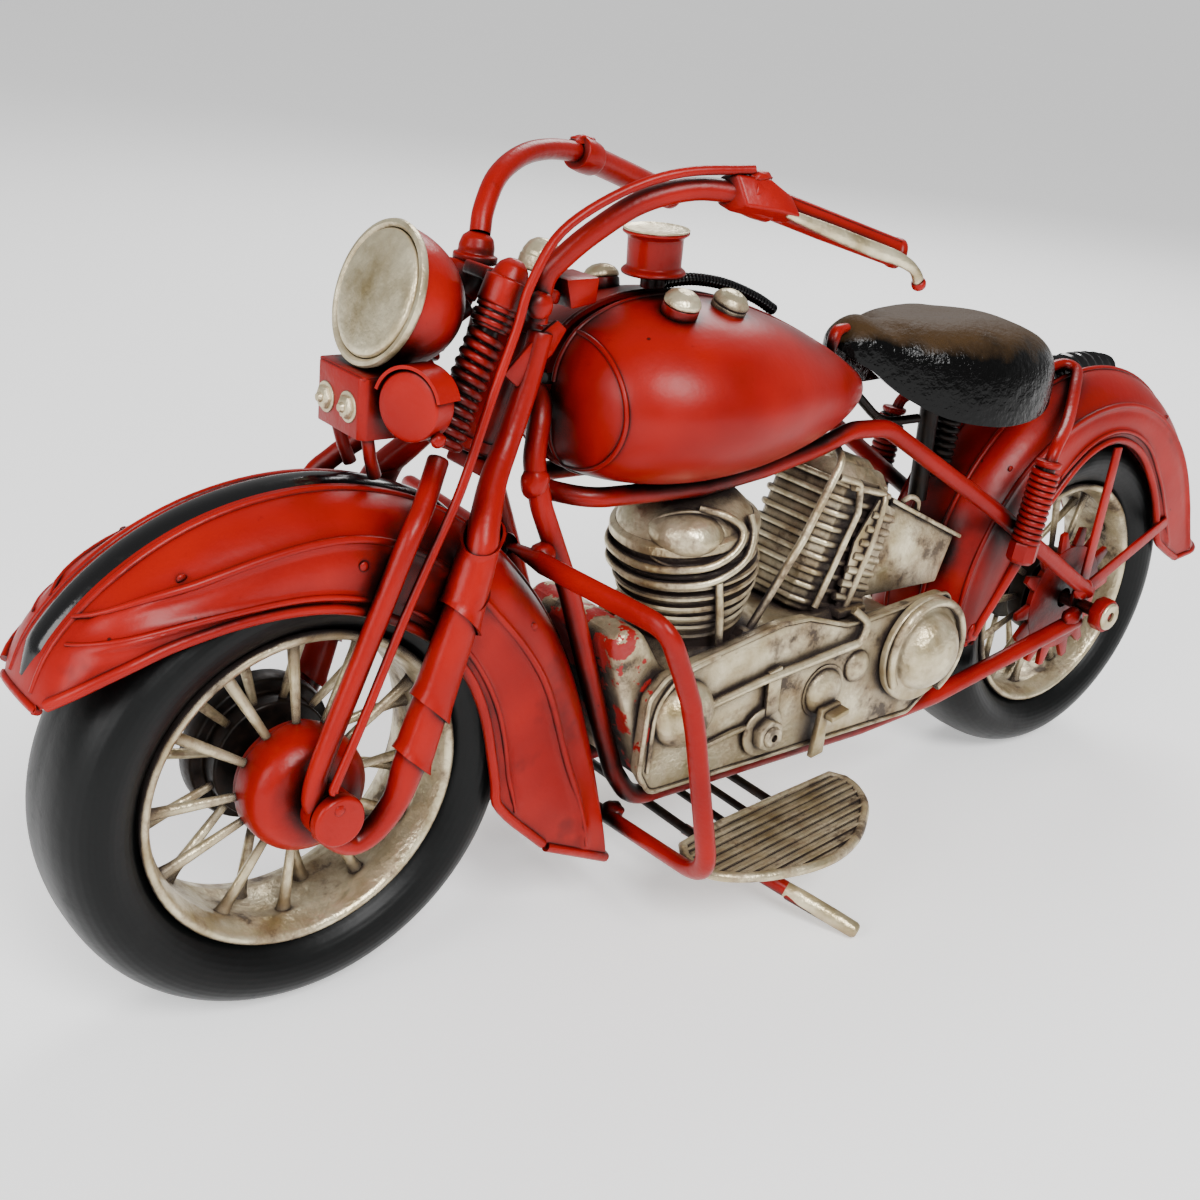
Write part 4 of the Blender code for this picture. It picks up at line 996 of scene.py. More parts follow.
def hem_rod(axle, guard, angle, radius, finish):
    """The rolled end of a guard: up one side, over the crown and down the other side."""
    top, low, drop, wide = (table(guard[key])(angle) for key in ("crown", "edge", "shoulder", "half"))
    across = []
    for k in range(-8, 9):
        turn = math.radians(90 * k / 8)
        y = math.copysign(wide * abs(math.sin(turn)) ** 0.92, turn)
        across.append(on_arc(axle, angle, top - min(drop, top - low - 0.1) * (1 - math.cos(turn)) - 0.2,
            y * 0.985))
    path = [on_arc(axle, angle, low + 0.5, across[0].y), *across,
        on_arc(axle, angle, low + 0.5, across[-1].y)]
    return grown(BENT_ROD, line_mesh(path), finish, Radius=radius, Sides=12)


front_parts = [(guard_skin(FRONT_AXLE, FRONT_GUARD, FRONT_RIBS), FENDER_RED)]
front_parts += rib_rods(FRONT_AXLE, FRONT_GUARD, FRONT_RIBS, FENDER_RED)
front_parts += lip_rods(FRONT_AXLE, FRONT_GUARD, RED, 31, 204)
for y in (-4.1, 4.1):
    front_parts.append((guard_rod(FRONT_AXLE, FRONT_GUARD, "crown", y, -0.55, 31, 204, 0.62, RED), RED))
front_parts.append((hem_rod(FRONT_AXLE, FRONT_GUARD, 204.6, 0.95, RED), RED))
front_parts.append((hem_rod(FRONT_AXLE, FRONT_GUARD, 29.0, 0.7, RED), RED))
for angle, radius in ((62, 45.0), (150, 44.5), (126, 36.6), (98, 39.0)):
    for side in (LEFT, RIGHT):
        rivet = blob(on_skin(FRONT_AXLE, FRONT_GUARD, angle, radius, side), (0.8, 0.35, 0.8), angle, 0.1)
        front_parts.append((rivet, RED))
piece("front_mudguard_pressing", front_parts, "steering", "front_fender")

rear_parts = [(guard_skin(REAR_AXLE, REAR_GUARD, REAR_RIBS), FENDER_RED)]
rear_parts += rib_rods(REAR_AXLE, REAR_GUARD, REAR_RIBS, FENDER_RED)
rear_parts += lip_rods(REAR_AXLE, REAR_GUARD, RED, -4, 173)
rear_parts.append((hem_rod(REAR_AXLE, REAR_GUARD, -4.6, 1.0, RED), RED))
rear_parts.append((hem_rod(REAR_AXLE, REAR_GUARD, 173.4, 0.8, RED), RED))
for y in (-4.6, 4.6):
    rear_parts.append((guard_rod(REAR_AXLE, REAR_GUARD, "crown", y, -0.55, -4, 173, 0.6, RED), RED))
for angle, radius in ((10, 44.0), (48, 47.0), (120, 48.0), (150, 46.6)):
    for side in (LEFT, RIGHT):
        rivet = blob(on_skin(REAR_AXLE, REAR_GUARD, angle, radius, side), (0.7, 0.35, 0.7), angle, 0.1)
        rear_parts.append((rivet, RED))
piece("rear_mudguard_pressing", rear_parts, "chassis", "rear_fender")

# %% [markdown]
# The black strips on the crests are thick poured lacquer over a bead: long on the front guard, and a
# short cross-ridged pad behind the saddle.

# %% Crest strips
def crest_strip(axle, guard, start, end, half, rise, count=70, ridges=0.0):
    read = table(guard["crown"])
    rings = []
    for i in range(count + 1):
        angle = start + (end - start) * i / count
        fade = min(1.0, i / 4, (count - i) / 4) * 0.6 + 0.4
        wave = 1.0 + ridges * math.sin(i * 1.6)
        ring = []
        for k in range(9):
            u = -1 + k / 4
            ring.append(on_arc(axle, angle,
                read(angle) - 0.25 - u * u * 0.9 + rise * fade * wave * (1 - u ** 4), u * half * fade))
        ring += [on_arc(axle, angle, read(angle) - 0.5, half * fade * 0.9),
            on_arc(axle, angle, read(angle) - 0.5, -half * fade * 0.9)]
        rings.append(ring)
    return lofted(rings)


strip = crest_strip(FRONT_AXLE, FRONT_GUARD, 32, 126, 3.5, 0.95)
piece("front_mudguard_black_strip", [(strip, BLACK)], "steering", "front_fender_trim")
pad = crest_strip(REAR_AXLE, REAR_GUARD, 70, 104, 4.4, 1.6, 44, 0.5)
piece("rear_mudguard_black_pad", [(pad, BLACK)], "chassis")
print("mudguards:", MADE[-4:])


# %% [markdown]
# ## Springer fork
# Two bars on each side: a thin front rod, and a thicker rear tube wrapped in thin sheet sleeves whose
# edges show as steps. Close-wound springs sit above, under dome nuts. The springs are a helix grown by a
# tree.

# %% Fork legs
FORK_Y = 15.4
FRONT_ROD = [
    (77.7, 9.4, 91.4), (79.4, 10.7, 89.0), (82.8, 13.6, 85.2), (86.6, 15.4, 80.0), (93.0, FORK_Y, 63.5),
    (99.0, FORK_Y, 48.0), (100.4, FORK_Y, 42.0), (99.6, FORK_Y + 0.4, 39.4),
]
REAR_TUBE = [
    (59.4, 7.7, 109.4), (61.2, 7.8, 101.7), (65.0, 9.0, 92.6), (68.8, 11.4, 87.4), (72.4, 15.0, 82.0),
    (74.2, 16.7, 76.6), (79.0, 16.9, 61.4), (83.6, 16.9, 47.0), (84.8, 16.8, 43.6), (86.4, 16.6, 38.6),
    (89.6, 16.0, 34.0), (93.2, FORK_Y, 32.2), (96.8, FORK_Y, 34.4), (98.2, FORK_Y + 0.6, 37.0),
]
TUBE_RADII = [2.0, 2.0, 2.0, 2.2, 2.5, 2.7, 2.8, 2.8, 2.6, 2.2, 2.1, 2.0, 1.9, 1.5]


def slanted_sleeve(top, bottom, r_top, r_bottom, slant):
    """A thin wrapped sheet round a bar, cut off at a slant, slightly flared and a little uneven."""
    top, bottom = Vector(top), Vector(bottom)
    along = (bottom - top).normalized()
    side = along.cross(Vector((0.0, 1.0, 0.0))).normalized()
    over = along.cross(side)
    rings = []
    for grow, steps in ((0.0, range(17)), (-0.5, range(16, -1, -1))):
        for k in steps:
            t = k / 16
            lip = 0.35 * math.exp(-((min(t, 1 - t) / 0.07) ** 2))
            ring = []
            for j in range(36):
                a = 2 * math.pi * j / 36
                out = side * math.cos(a) + over * math.sin(a)
                cut = slant * math.cos(a + 0.8) * (1 - t) - slant * 0.7 * math.cos(a) * t
                r = r_top + (r_bottom - r_top) * t + grow + lip + 0.2 * noise.noise(out * 1.5 + top * 0.1)
                ring.append(top.lerp(bottom, t) + along * cut + out * r)
            rings.append(ring)
    return lofted(rings, closed=True, capped=False)


for side_name, side in SIDES:
    mirrored = list if side == LEFT else flip
    boss = turned(soft_profile([(4.1, 1.5), (4.1, -1.5), (BORE, -1.5), (BORE, 1.5), (4.1, 1.5)], 0.2),
                  FRONT_AXLE + Vector((0, side * FORK_Y, 0)), (0, 1, 0), 32)
    front_bar = swept(through(mirrored(FRONT_ROD), 5), [1.7] * 7 + [1.4], 16)
    rear_bar = swept(through(mirrored(REAR_TUBE), 5), TUBE_RADII, 20)
    sleeves = [
        slanted_sleeve((72.9, 15.6, 80.6), (77.0, 16.9, 68.0), 3.1, 3.6, 3.0),
        slanted_sleeve((75.6, 16.8, 72.0), (81.4, 16.9, 53.6), 3.0, 3.45, 2.6),
        slanted_sleeve((80.4, 16.9, 57.2), (84.2, 16.9, 45.2), 2.9, 3.3, 2.4),
    ]
    if side == RIGHT:
        sleeves = [other_side(s) for s in sleeves]
    weld = blob((98.6, side * (FORK_Y + 0.6), 36.4), (2.0, 1.1, 1.8), 4.0 + side)
    piece(side_name + "_fork_leg_bars", [(m, RED) for m in (boss, front_bar, rear_bar, *sleeves, weld)],
          "steering", "fork_leg_" + side_name)


# %% Springs
def coil_spring(top, bottom, radius, turns, wire, core, cap=(), foot=(), finish=None):
    """A helix between two points on its core rod, with turned caps at either end."""
    top, bottom = Vector(top), Vector(bottom)
    length = (top - bottom).length
    base = turned([(0.0, length), (core, length), (core, 0.0), (0.0, 0.0)], (0, 0, 0), (0, 0, 1), 20)
    wound = grown(COIL, base, finish, Turns=float(turns), Coil_Radius=radius - wire,
        Length=length - 2 * wire, Wire=wire)
    parts = [placed(wound, bottom, top - bottom)]
    if cap:
        parts.append(turned(soft_profile(list(cap), 0.3), top, top - bottom, 32))
    if foot:
        parts.append(turned(soft_profile(list(foot), 0.3), bottom, top - bottom, 32))
    return parts


DOME_NUT = [
    (0.0, 5.0), (1.2, 4.8), (2.3, 3.8), (2.8, 2.2), (2.9, 1.7), (3.5, 1.6), (3.5, -2.4), (2.8, -2.8),
    (2.8, -6.2), (0.0, -6.2),
]
for side_name, side in SIDES:
    top = Vector((67.2, 8.2, 116.0)) if side == LEFT else Vector((63.8, -7.9, 114.6))
    bottom = Vector((76.6, side * 8.4, 93.0))
    parts = coil_spring(top + (bottom - top) * 0.22, bottom, 3.1, 11, 0.72, 1.7, (),
        [(0, 1.2), (2.5, 1.2), (2.5, -0.2), (0, -0.2)], RED)
    parts.append(turned(soft_profile(DOME_NUT, 0.35), top, top - bottom, 36, 0.01))
    for k in range(3):
        place = top + (bottom - top).normalized() * (2.9 + 1.15 * k)
        parts.append(turned(soft_profile([(0.0, 0.45), (3.25, 0.45), (3.25, -0.45), (0.0, -0.45)], 0.3),
            place, top - bottom, 28))
    piece(side_name + "_fork_spring_coil", [(m, RED) for m in parts], "steering",
          "fork_spring_" + side_name)

# %% [markdown]
# The two flat yokes hold the fork to the steering stem. The silver dome is the stem's nut.

# %% Yokes, stem and dome
def on_stem(down, ahead=0.0, y=0.0):
    across = Vector((math.cos(RAKE), 0.0, math.sin(RAKE)))
    return STEM_TOP + STEM_DOWN * down + across * ahead + Vector((0.0, y, 0.0))


yoke = [
    (-4.2, 2.6), (-2.0, 4.6), (10.0, 4.6), (11.6, 3.0), (11.6, -3.0), (8.0, -4.2), (-2.0, -4.6),
    (-4.2, -2.6),
]
yoke_plate = rounded(lofted([[on_stem(down, ahead, y) for ahead, y in yoke] for down in (6.0, 8.2)]), 0.5,
    3)
stem = swept([on_stem(7.0), on_stem(20.0), on_stem(34.4)], [1.9, 1.9, 1.9], 24)
link = plate([(57.0, 111.2), (61.0, 108.6), (66.4, 103.2), (63.6, 101.0), (57.4, 105.8), (55.0, 109.6)],
    7.8, 8.7, edge=0.3)
ears = []
for y in (9.4, -9.4):
    ears.append(blob((61.4, y, 118.4 if y < 0 else 113.8), (2.3, 1.7, 2.2), y, 0.12))
flange = turned(soft_profile([
    (0.0, 2.5), (1.4, 2.3), (2.5, 1.4), (2.9, 0.0), (2.9, -1.1), (3.6, -1.2), (3.6, -2.4), (2.4, -2.8),
    (2.4, -4.6), (0.0, -4.6),
], 0.3),
                (61.6, -8.0, 119.4), (-0.1, 0, 1), 32)
block = plate([(46.4, 112.4), (51.4, 111.6), (52.8, 116.4), (46.2, 116.6)], -2.6, 4.6, edge=0.4)
piece("fork_top_yoke_plate", [(m, RED) for m in (yoke_plate, stem, link, flange, block, *ears)], "steering",
      "fork_top_yoke")
low_yoke = [(-3.0, 3.0), (0.0, 5.2), (1.6, 5.6), (1.6, -5.6), (0.0, -5.2), (-3.0, -3.0)]
low_plate = rounded(lofted([[on_stem(down, ahead, y) for ahead, y in low_yoke] for down in (34.8, 37.4)]),
    0.5, 3)
piece("fork_lower_yoke_plate", [(low_plate, RED)], "steering", "fork_lower_yoke")
dome = [(0.0, 3.6), (1.5, 3.4), (2.6, 2.5), (3.2, 1.1), (3.2, 0.5), (3.4, 0.3), (3.4, -2.0), (0.0, -2.0)]
piece("stem_dome_nut", [(turned(soft_profile(dome, 0.4, 4), on_stem(2.6), -STEM_DOWN, 40), SILVER_CLEAN)],
      "steering", "stem_nut")


# %% [markdown]
# ## Handlebars
# Each bar is one rod swept back in a long curve. A rolled sheet grip slips over its end, with a folded
# collar and a hood for the lever at its root. The brake lever is a flattened bar, silver with a red tip,
# and the cable is a thin wire from the hood down to the axle.

# %% Bars, grips, lever and cable
BAR_LEFT = [
    (60.2, 7.4, 110.8), (59.6, 7.8, 117.4), (57.4, 9.4, 121.2), (53.4, 11.8, 125.6), (47.8, 14.6, 130.0),
    (40.6, 17.8, 132.4), (33.6, 21.2, 132.4),
]
BAR_RIGHT = [
    (61.2, -8.0, 121.4), (59.8, -9.4, 125.0), (56.0, -11.8, 129.6), (49.6, -14.8, 132.4),
    (42.0, -18.0, 133.2), (33.6, -21.2, 132.6),
]
GRIP_END = Vector((4.0, 28.4, 124.0))
CABLE = [
    (32.8, 22.2, 136.0), (43.6, 18.4, 134.9), (52.6, 15.4, 131.5), (61.5, 13.4, 125.5),
    (66.4, 13.4, 117.8), (68.3, 13.5, 111.4), (72.4, 14.3, 101.4), (77.4, 15.4, 88.4), (82.6, 16.4, 78.6),
    (87.3, 17.2, 69.5), (94.2, 18.2, 54.4), (98.4, 18.7, 45.6), (98.7, 18.8, 44.4),
]
for side_name, side, bar in (("left", LEFT, BAR_LEFT), ("right", RIGHT, BAR_RIGHT)):
    tube = rod(bar, 1.75, RED, smooth=True, sides=20)
    piece(side_name + "_handlebar_tube", [(tube, RED)], "steering", "handlebar_" + side_name)
    root = Vector(bar[-1])
    end = Vector((GRIP_END.x, side * GRIP_END.y, GRIP_END.z))
    along = (end - root).normalized()
    start = root + along * 0.4
    length = (end - start).length
    wrap = [
        (0.0, length / 2), (3.0, length / 2), (3.1, length / 2 - 2.4), (2.9, length / 2 - 5.0),
        (2.35, length / 2 - 5.4), (2.4, 0.0), (2.35, -length / 2 + 1.4), (2.55, -length / 2 + 1.0),
        (2.5, -length / 2), (1.9, -length / 2), (1.8, -length / 2 + 1.6), (0.0, -length / 2 + 1.8),
    ]
    parts = [turned(soft_profile(wrap, 0.3), (start + end) / 2, start - end, 36, 0.03, side)]
    lap = [start + along * (6.0 + k * (length - 7.0) / 6) + Vector((0, side * 1.3, 1.95)) for k in range(7)]
    parts.append(swept(lap, [0.28] * 7, 8))
    parts.append(blob(root + along * 1.8 + Vector((0, 0, 2.2)), (2.6, 1.6, 1.0), side * 3.0, 0.35))
    piece(side_name + "_grip_wrap", [(m, RED) for m in parts], "steering",
        "grip_" + side_name)

lever_path = through([
    (28.4, 26.0, 130.2), (20.0, 28.1, 127.6), (12.0, 30.1, 125.2), (7.6, 31.2, 124.0), (4.4, 31.9, 122.6),
    (2.2, 31.6, 121.0), (0.6, 31.2, 119.0),
], 5)
cut = int(len(lever_path) * 0.88)
lever = swept(lever_path[: cut + 1], [0.7, 1.15, 1.25, 1.1, 0.85, 1.1], 16, 0.75)
tip = swept(lever_path[cut:], [1.1, 1.3, 1.0], 16)
hood = rounded(lofted([
    [Vector((x, y, z)) for x, y, z in ring] for ring in (
        [
            (36.6, 18.6, 130.4), (36.6, 18.6, 134.6), (36.0, 22.0, 135.4), (35.4, 24.4, 131.0),
            (36.0, 21.0, 129.6),
        ],
        [
            (31.4, 20.4, 129.4), (31.4, 20.6, 134.8), (30.6, 23.8, 135.0), (30.0, 26.6, 130.6),
            (30.6, 23.0, 128.6),
        ],
        [
            (27.4, 21.8, 129.0), (27.4, 22.0, 132.4), (26.8, 25.0, 132.6), (26.4, 27.4, 129.8),
            (26.8, 24.0, 128.2),
        ],
    )
]), 0.5, 3, 30)
piece("brake_lever_bar", [(lever, SILVER_CLEAN), (tip, RED), (hood, RED),
    (blob((31.6, 22.4, 135.0), (2.2, 1.2, 0.9), 7.0, 0.3), RED)],
      "steering", "brake_lever")
piece("brake_cable_wire", [(rod(CABLE, 0.75, RED, smooth=True, sides=12), RED)], "steering",
      "brake_cable")


# %% [markdown]
# ## Headlight and horn
# The lamp is a spun bowl with a rolled rim, closed by a flat disc of silver paint inside a cream-coloured
# ring. Below it a folded plate carries two hex bolts and the round horn drum under its own small hood.

# %% Lamp, bracket and horn drum
LAMP = Vector((83.3, 0.0, 114.3))
LAMP_R, LAMP_DEPTH = 10.7, 13.2
LAMP_TILT = math.radians(18.2)
LAMP_AIM = Vector((math.cos(LAMP_TILT), 0.0, math.sin(LAMP_TILT)))
wall = 0.8
outer = [(LAMP_R * math.cos(math.radians(90 * k / 20)), -LAMP_DEPTH * math.sin(math.radians(90 * k / 20)))
    for k in range(21)]
inner = [((LAMP_R - wall) * math.cos(math.radians(90 * k / 20)),
    -(LAMP_DEPTH - wall) * math.sin(math.radians(90 * k / 20))) for k in range(21)]
bowl = turned(list(reversed(inner)) + outer, LAMP, LAMP_AIM, 72)
rim_ring = [
    (LAMP_R - wall, 0.7), (LAMP_R - 0.3, 1.2), (LAMP_R + 0.3, 1.1), (LAMP_R + 0.5, 0.6),
    (LAMP_R + 0.35, 0.0), (LAMP_R, -0.3), (LAMP_R - wall, -0.2),
]
bezel = turned(rim_ring + rim_ring[:1], LAMP, LAMP_AIM, 72, 0.006, 9.0)
neck = swept([(74.0, 0.0, 107.8), (71.6, 0.0, 110.4), (68.6, 0.0, 112.6)], [2.2, 2.0, 2.2], 16)
piece("headlight_bowl", [(bowl, RED), (bezel, SILVER_CLEAN), (neck, RED)], "steering",
    "headlight_shell")
glass = [(0.0, 1.7), (5.0, 1.65), (8.6, 1.5), (9.5, 1.25), (9.75, 0.7), (9.6, 0.2), (0.0, 0.2)]
piece("headlight_silver_lens", [(turned(soft_profile(glass, 0.3), LAMP, LAMP_AIM, 72, 0.004, 4.0), LENS)],
    "steering",
      "headlight_lens")

bracket = plate([
    (89.4, -6.8), (89.4, 5.0), (88.4, 6.0), (80.0, 6.0), (80.0, 5.0), (88.0, 5.0), (88.4, 4.6),
    (88.4, -6.4), (88.0, -6.8), (80.0, -6.8), (80.0, -7.8), (88.4, -7.8),
], 94.0, 103.4, plane="XY", edge=0.3)


BOLT_R = 1.9


def bolt(at, aim):
    """A hex head with a domed centre, on its washer."""
    head = turned([(0.0, 1.0), (BOLT_R * 0.7, 0.9), (BOLT_R, 0.6), (BOLT_R, -0.3), (0.0, -0.3)], (0, 0, 0),
        (0, 0, 1), 6)
    washer = turned(soft_profile([(0.0, 0.1), (BOLT_R * 1.25, 0.1), (BOLT_R * 1.25, -0.3), (0.0, -0.3)],
        0.1), (0, 0, 0), (0, 0, 1), 24)
    stud = turned([(0.0, 1.6), (BOLT_R * 0.3, 1.5), (BOLT_R * 0.42, 1.1), (BOLT_R * 0.42, 0.6), (0.0, 0.6)],
        (0, 0, 0), (0, 0, 1), 16)
    return [placed(m, at, aim) for m in (rounded(head, 0.12), washer, stud)]


bolts = bolt((89.5, -4.4, 98.2), (1, 0, 0)) + bolt((89.5, 2.2, 98.4), (1, 0, 0))
posts = [swept([(87.2, y, 94.6), (86.2, y * 0.9, 90.6), (85.0, y * 0.8, 87.4)], [1.0, 1.0, 1.1], 12)
    for y in (-5.0, 4.2)]
shelf = plate([(80.0, -7.6), (89.0, -7.6), (89.0, 5.8), (80.0, 5.8)], 103.0, 103.7, plane="XY", edge=0.3)
piece("horn_plate_folded", [(bracket, RED), (shelf, RED)] + [(p, RED) for p in posts] + [(b, SILVER_CLEAN)
    for b in bolts],
      "steering", "horn_bracket")

HORN = Vector((84.2, 11.8, 100.8))
HORN_AIM = Vector((1.0, 0.42, 0.06)).normalized()
HORN_R = 5.2
drum_profile = [
    (0.0, 1.7), (3.6, 1.75), (4.9, 1.6), (HORN_R, 1.3), (HORN_R, -2.8), (HORN_R - 1.4, -3.8), (0.0, -3.8),
]
horn = turned(soft_profile(drum_profile, 0.3), HORN, HORN_AIM, 56, 0.01)
turn = HORN_AIM.to_track_quat("Z", "Y").to_matrix()
hood_rings = []
for depth in (1.9, -3.4):
    ring = []
    for layer in (HORN_R + 0.75, HORN_R + 0.2):
        arc = [math.radians(15 + 150 * k / 24) for k in range(25)]
        for a in arc if layer > HORN_R + 0.5 else reversed(arc):
            ring.append(HORN + turn @ Vector((layer * math.sin(a - math.pi / 2),
                layer * math.cos(a - math.pi / 2), depth)))
    hood_rings.append(ring)
piece("horn_drum_turned", [(horn, RED), (lofted(hood_rings), RED),
    (blob((82.0, 15.4, 96.4), (1.2, 1.0, 1.2), 3.0), RED)],
      "steering", "horn_drum")
print("front end:", len(MADE), "pieces so far")


# %% [markdown]
# ## Frame
# The frame is one gauge of steel rod, bent cold and soldered: a loop under the engine, two stays that run
# from the tank back to the rear axle, and the steering head. Lumps of solder are left where rods meet.

# %% Rods of the frame
TUBE_R = 1.9
cradle = [
    (-95.0, 16.6, 36.2), (-52.0, 13.0, 24.6), (-30.0, 11.4, 21.6), (30.0, 9.0, 19.6), (34.6, 8.6, 26.4),
    (39.2, 8.4, 38.0), (49.0, 8.2, 64.5), (55.6, 7.0, 80.0), (57.0, 5.6, 87.6), (54.8, 3.6, 95.2),
    (52.8, 0.0, 97.6),
]
loop = rod(cradle + flip(reversed(cradle[:-1])), TUBE_R, RED, bend=9.0, sides=20)
welds = [blob((56.8, s * 6.2, 84.2), (2.5, 2.3, 3.0), s * 3.0) for s in (1, -1)]
welds += [blob((-93.0, s * 16.5, 37.0), (3.4, 1.8, 2.6), s * 4.0) for s in (1, -1)]
piece("cradle_frame_rod", [(loop, RED)] + [(w, RED) for w in welds], "chassis",
    "cradle_frame")

stay = [
    (-95.6, 17.4, 43.4), (-56.0, 16.0, 67.6), (-22.6, 11.0, 87.2), (-14.0, 9.8, 87.2), (-7.0, 9.2, 84.6),
    (7.0, 8.8, 81.7), (22.0, 8.6, 79.9), (46.0, 7.6, 80.4), (52.0, 0.0, 80.8),
]
stays = rod(stay + flip(reversed(stay[:-1])), TUBE_R - 0.15, RED, bend=9.0, sides=20)
welds = [blob((-93.6, s * 17.3, 44.2), (3.2, 1.6, 2.4), s * 5.0) for s in (1, -1)]
piece("seat_stay_rods", [(stays, RED)] + [(w, RED) for w in welds], "chassis", "seat_stays")

spine = [(52.0, 0.0, 99.4), (-20.0, 0.0, 94.4), (-34.0, 0.0, 84.0), (-45.2, 0.0, 84.0)]
piece("backbone_rod", [(rod(spine, 0.95, DARK, bend=14.0), DARK)], "chassis", "backbone_tube")


def open_tube(top, bottom, outer_r, bore):
    length = (top - bottom).length
    outline = [(outer_r, length), (outer_r, 0.0), (bore, 0.0), (bore, length), (outer_r, length)]
    return turned(soft_profile(outline, 0.3), bottom, top - bottom, 32)


head = open_tube(on_stem(11.6), on_stem(34.4), 3.3, 2.2)
collars = [open_tube(on_stem(d), on_stem(d + 1.8), 3.8, 2.2) for d in (12.0, 32.2)]
piece("steering_head_tube", [(head, RED)] + [(c, RED) for c in collars], "chassis",
    "steering_head")

# %% [markdown]
# ## Fuel tank
# Two halves pressed from tin meet over the spine in a raised seam. The paint here is rubbed to an even
# satin, so the shape itself must be smooth: its sections are read through a smooth curve.

# %% Tank halves, caps and speedometer
TANK = [
    (51.6, 97.6, 95.0, 3.0), (50.6, 103.2, 88.4, 9.6), (46.6, 108.4, 84.0, 17.0),
    (38.6, 111.8, 81.8, 22.4), (28.6, 112.8, 81.0, 24.6), (17.6, 111.6, 81.6, 23.8),
    (7.0, 108.8, 83.2, 20.8), (-4.0, 104.6, 85.6, 16.0), (-13.6, 100.0, 88.4, 10.2),
    (-19.8, 96.6, 91.6, 5.0), (-21.6, 94.8, 93.6, 1.6),
]
SEAM_Y = 1.3
sections = through([Vector((x, top, bottom)) for x, top, bottom, _ in TANK], 6)
widths = through([Vector((x, half, 0.0)) for x, _, _, half in TANK], 6)


def tank_half():
    rows = []
    for section, width in zip(sections, widths):
        x, top, bottom, half = section.x, section.y, section.z, max(width.y, 1.0)
        middle, tall = (top + bottom) / 2, (top - bottom) / 2
        row = []
        for k in range(37):
            turn = math.pi * k / 36
            y = SEAM_Y + (half - SEAM_Y * 0.5) * math.sin(turn) ** 0.92
            lift = math.copysign(abs(math.cos(turn)) ** 1.08, math.cos(turn))
            row.append((x, y, middle + tall * lift))
        rows.append(row)
    ends = []
    for row in (rows[0], rows[-1]):
        z = sum(p[2] for p in row) / len(row)
        ends.append([(row[0][0], SEAM_Y, z)] * len(row))
    skin = lofted([ends[0], *rows, ends[1]], capped=False, wrap=False)
    largest = max(skin.polygons, key=lambda face: face.center.y)
    if largest.normal.y < 0:
        skin.flip_normals()
    return with_modifiers(skin, ("SOLIDIFY", {"thickness": 0.7, "offset": -1.0}))


left_half = tank_half()
crest = [(s.x, SEAM_Y + 0.45, s.y - 0.15) for s in sections[2:-1]]
keel = [(s.x, SEAM_Y + 0.45, s.z + 0.15) for s in sections[2:-1]]
front_band = []
for k in range(25):
    turn = math.pi * k / 24
    x, top, bottom, half = 47.6, 107.3, 84.8, 15.6
    front_band.append((x, SEAM_Y + (half - 0.4) * math.sin(turn) ** 0.92,
                       (top + bottom) / 2 + (top - bottom) / 2 * math.copysign(abs(math.cos(turn)) ** 1.08,
                           math.cos(turn))))
for side_name, side in SIDES:
    trims = [rod(route, 0.5, RED, smooth=False, bend=4.0, sides=8) for route in (crest, keel)]
    band = grown(BENT_ROD, line_mesh(through(front_band, 2)), TANK_RED, Radius=0.5, Sides=8)
    parts = [left_half.copy() if side == LEFT else other_side(left_half)]
    parts += [m if side == LEFT else other_side(m) for m in trims + [band]]
    piece("fuel_tank_half_" + side_name, [(m, TANK_RED) for m in parts], "chassis",
          "fuel_tank_" + side_name, angle=50.0)


def fuel_cap(at, lean):
    skirt = [(2.9, -1.4), (3.1, -0.6), (3.1, 0.6), (2.6, 0.8), (0.0, 0.8)]
    cover = [(0.0, 3.2), (1.4, 3.0), (2.5, 2.4), (3.15, 1.5), (3.2, 0.9), (2.8, 0.7), (0.0, 0.7)]
    return (turned(soft_profile([(0.0, -1.4)] + skirt, 0.2), at, lean, 36, 0.02),
            turned(soft_profile(cover, 0.3), at, lean, 36, 0.03, at[0]))


for side_name, side in SIDES:
    skirt, cover = fuel_cap((33.6, side * 10.4, 112.4), (0, side * 0.3, 1))
    parts = [(skirt, RED), (cover, SILVER_CLEAN)]
    if side == LEFT:
        skirt, cover = fuel_cap((21.6, 9.0, 111.6), (-0.12, 0.34, 1))
        parts += [(skirt, SILVER), (cover, SILVER)]
    piece("fuel_cap_domed_" + side_name, parts, "chassis", "fuel_cap_" + side_name)

gauge = [
    (0.0, 3.0), (5.0, 3.2), (5.5, 3.5), (5.7, 3.0), (4.7, 2.3), (4.6, -2.6), (5.3, -3.1), (5.5, -3.5),
    (5.3, -3.9), (2.1, -3.9), (2.1, -6.2), (0.0, -6.2),
]
face = [(0.0, 3.3), (3.4, 3.35), (4.9, 3.5), (5.5, 3.75), (5.65, 3.55), (5.2, 3.1), (0.0, 3.0)]
piece("speedometer_pot", [
    (turned(soft_profile(gauge, 0.3), (31.4, 0.0, 119.7), (0.05, 0, 1), 48, 0.015, 2.0), RED),
    (turned(soft_profile(face, 0.2), (31.4, 0.0, 119.7), (0.05, 0, 1), 48, 0.03, 6.0), SILVER_CLEAN),
], "chassis", "speedometer_drum")
hose = [
    (28.4, 0.0, 114.4), (22.0, -0.2, 114.6), (14.0, -0.6, 113.4), (6.0, -0.8, 110.8), (1.0, -0.8, 108.4),
]
hose_path = through(hose, 8)
core = grown(BENT_ROD, line_mesh(hose_path), BLACK, Radius=0.85, Sides=14)
rings = grown(ALONG_PATH, line_mesh(hose_path), BLACK, Spacing=0.82, Ring_Radius=0.82, Wire=0.3)
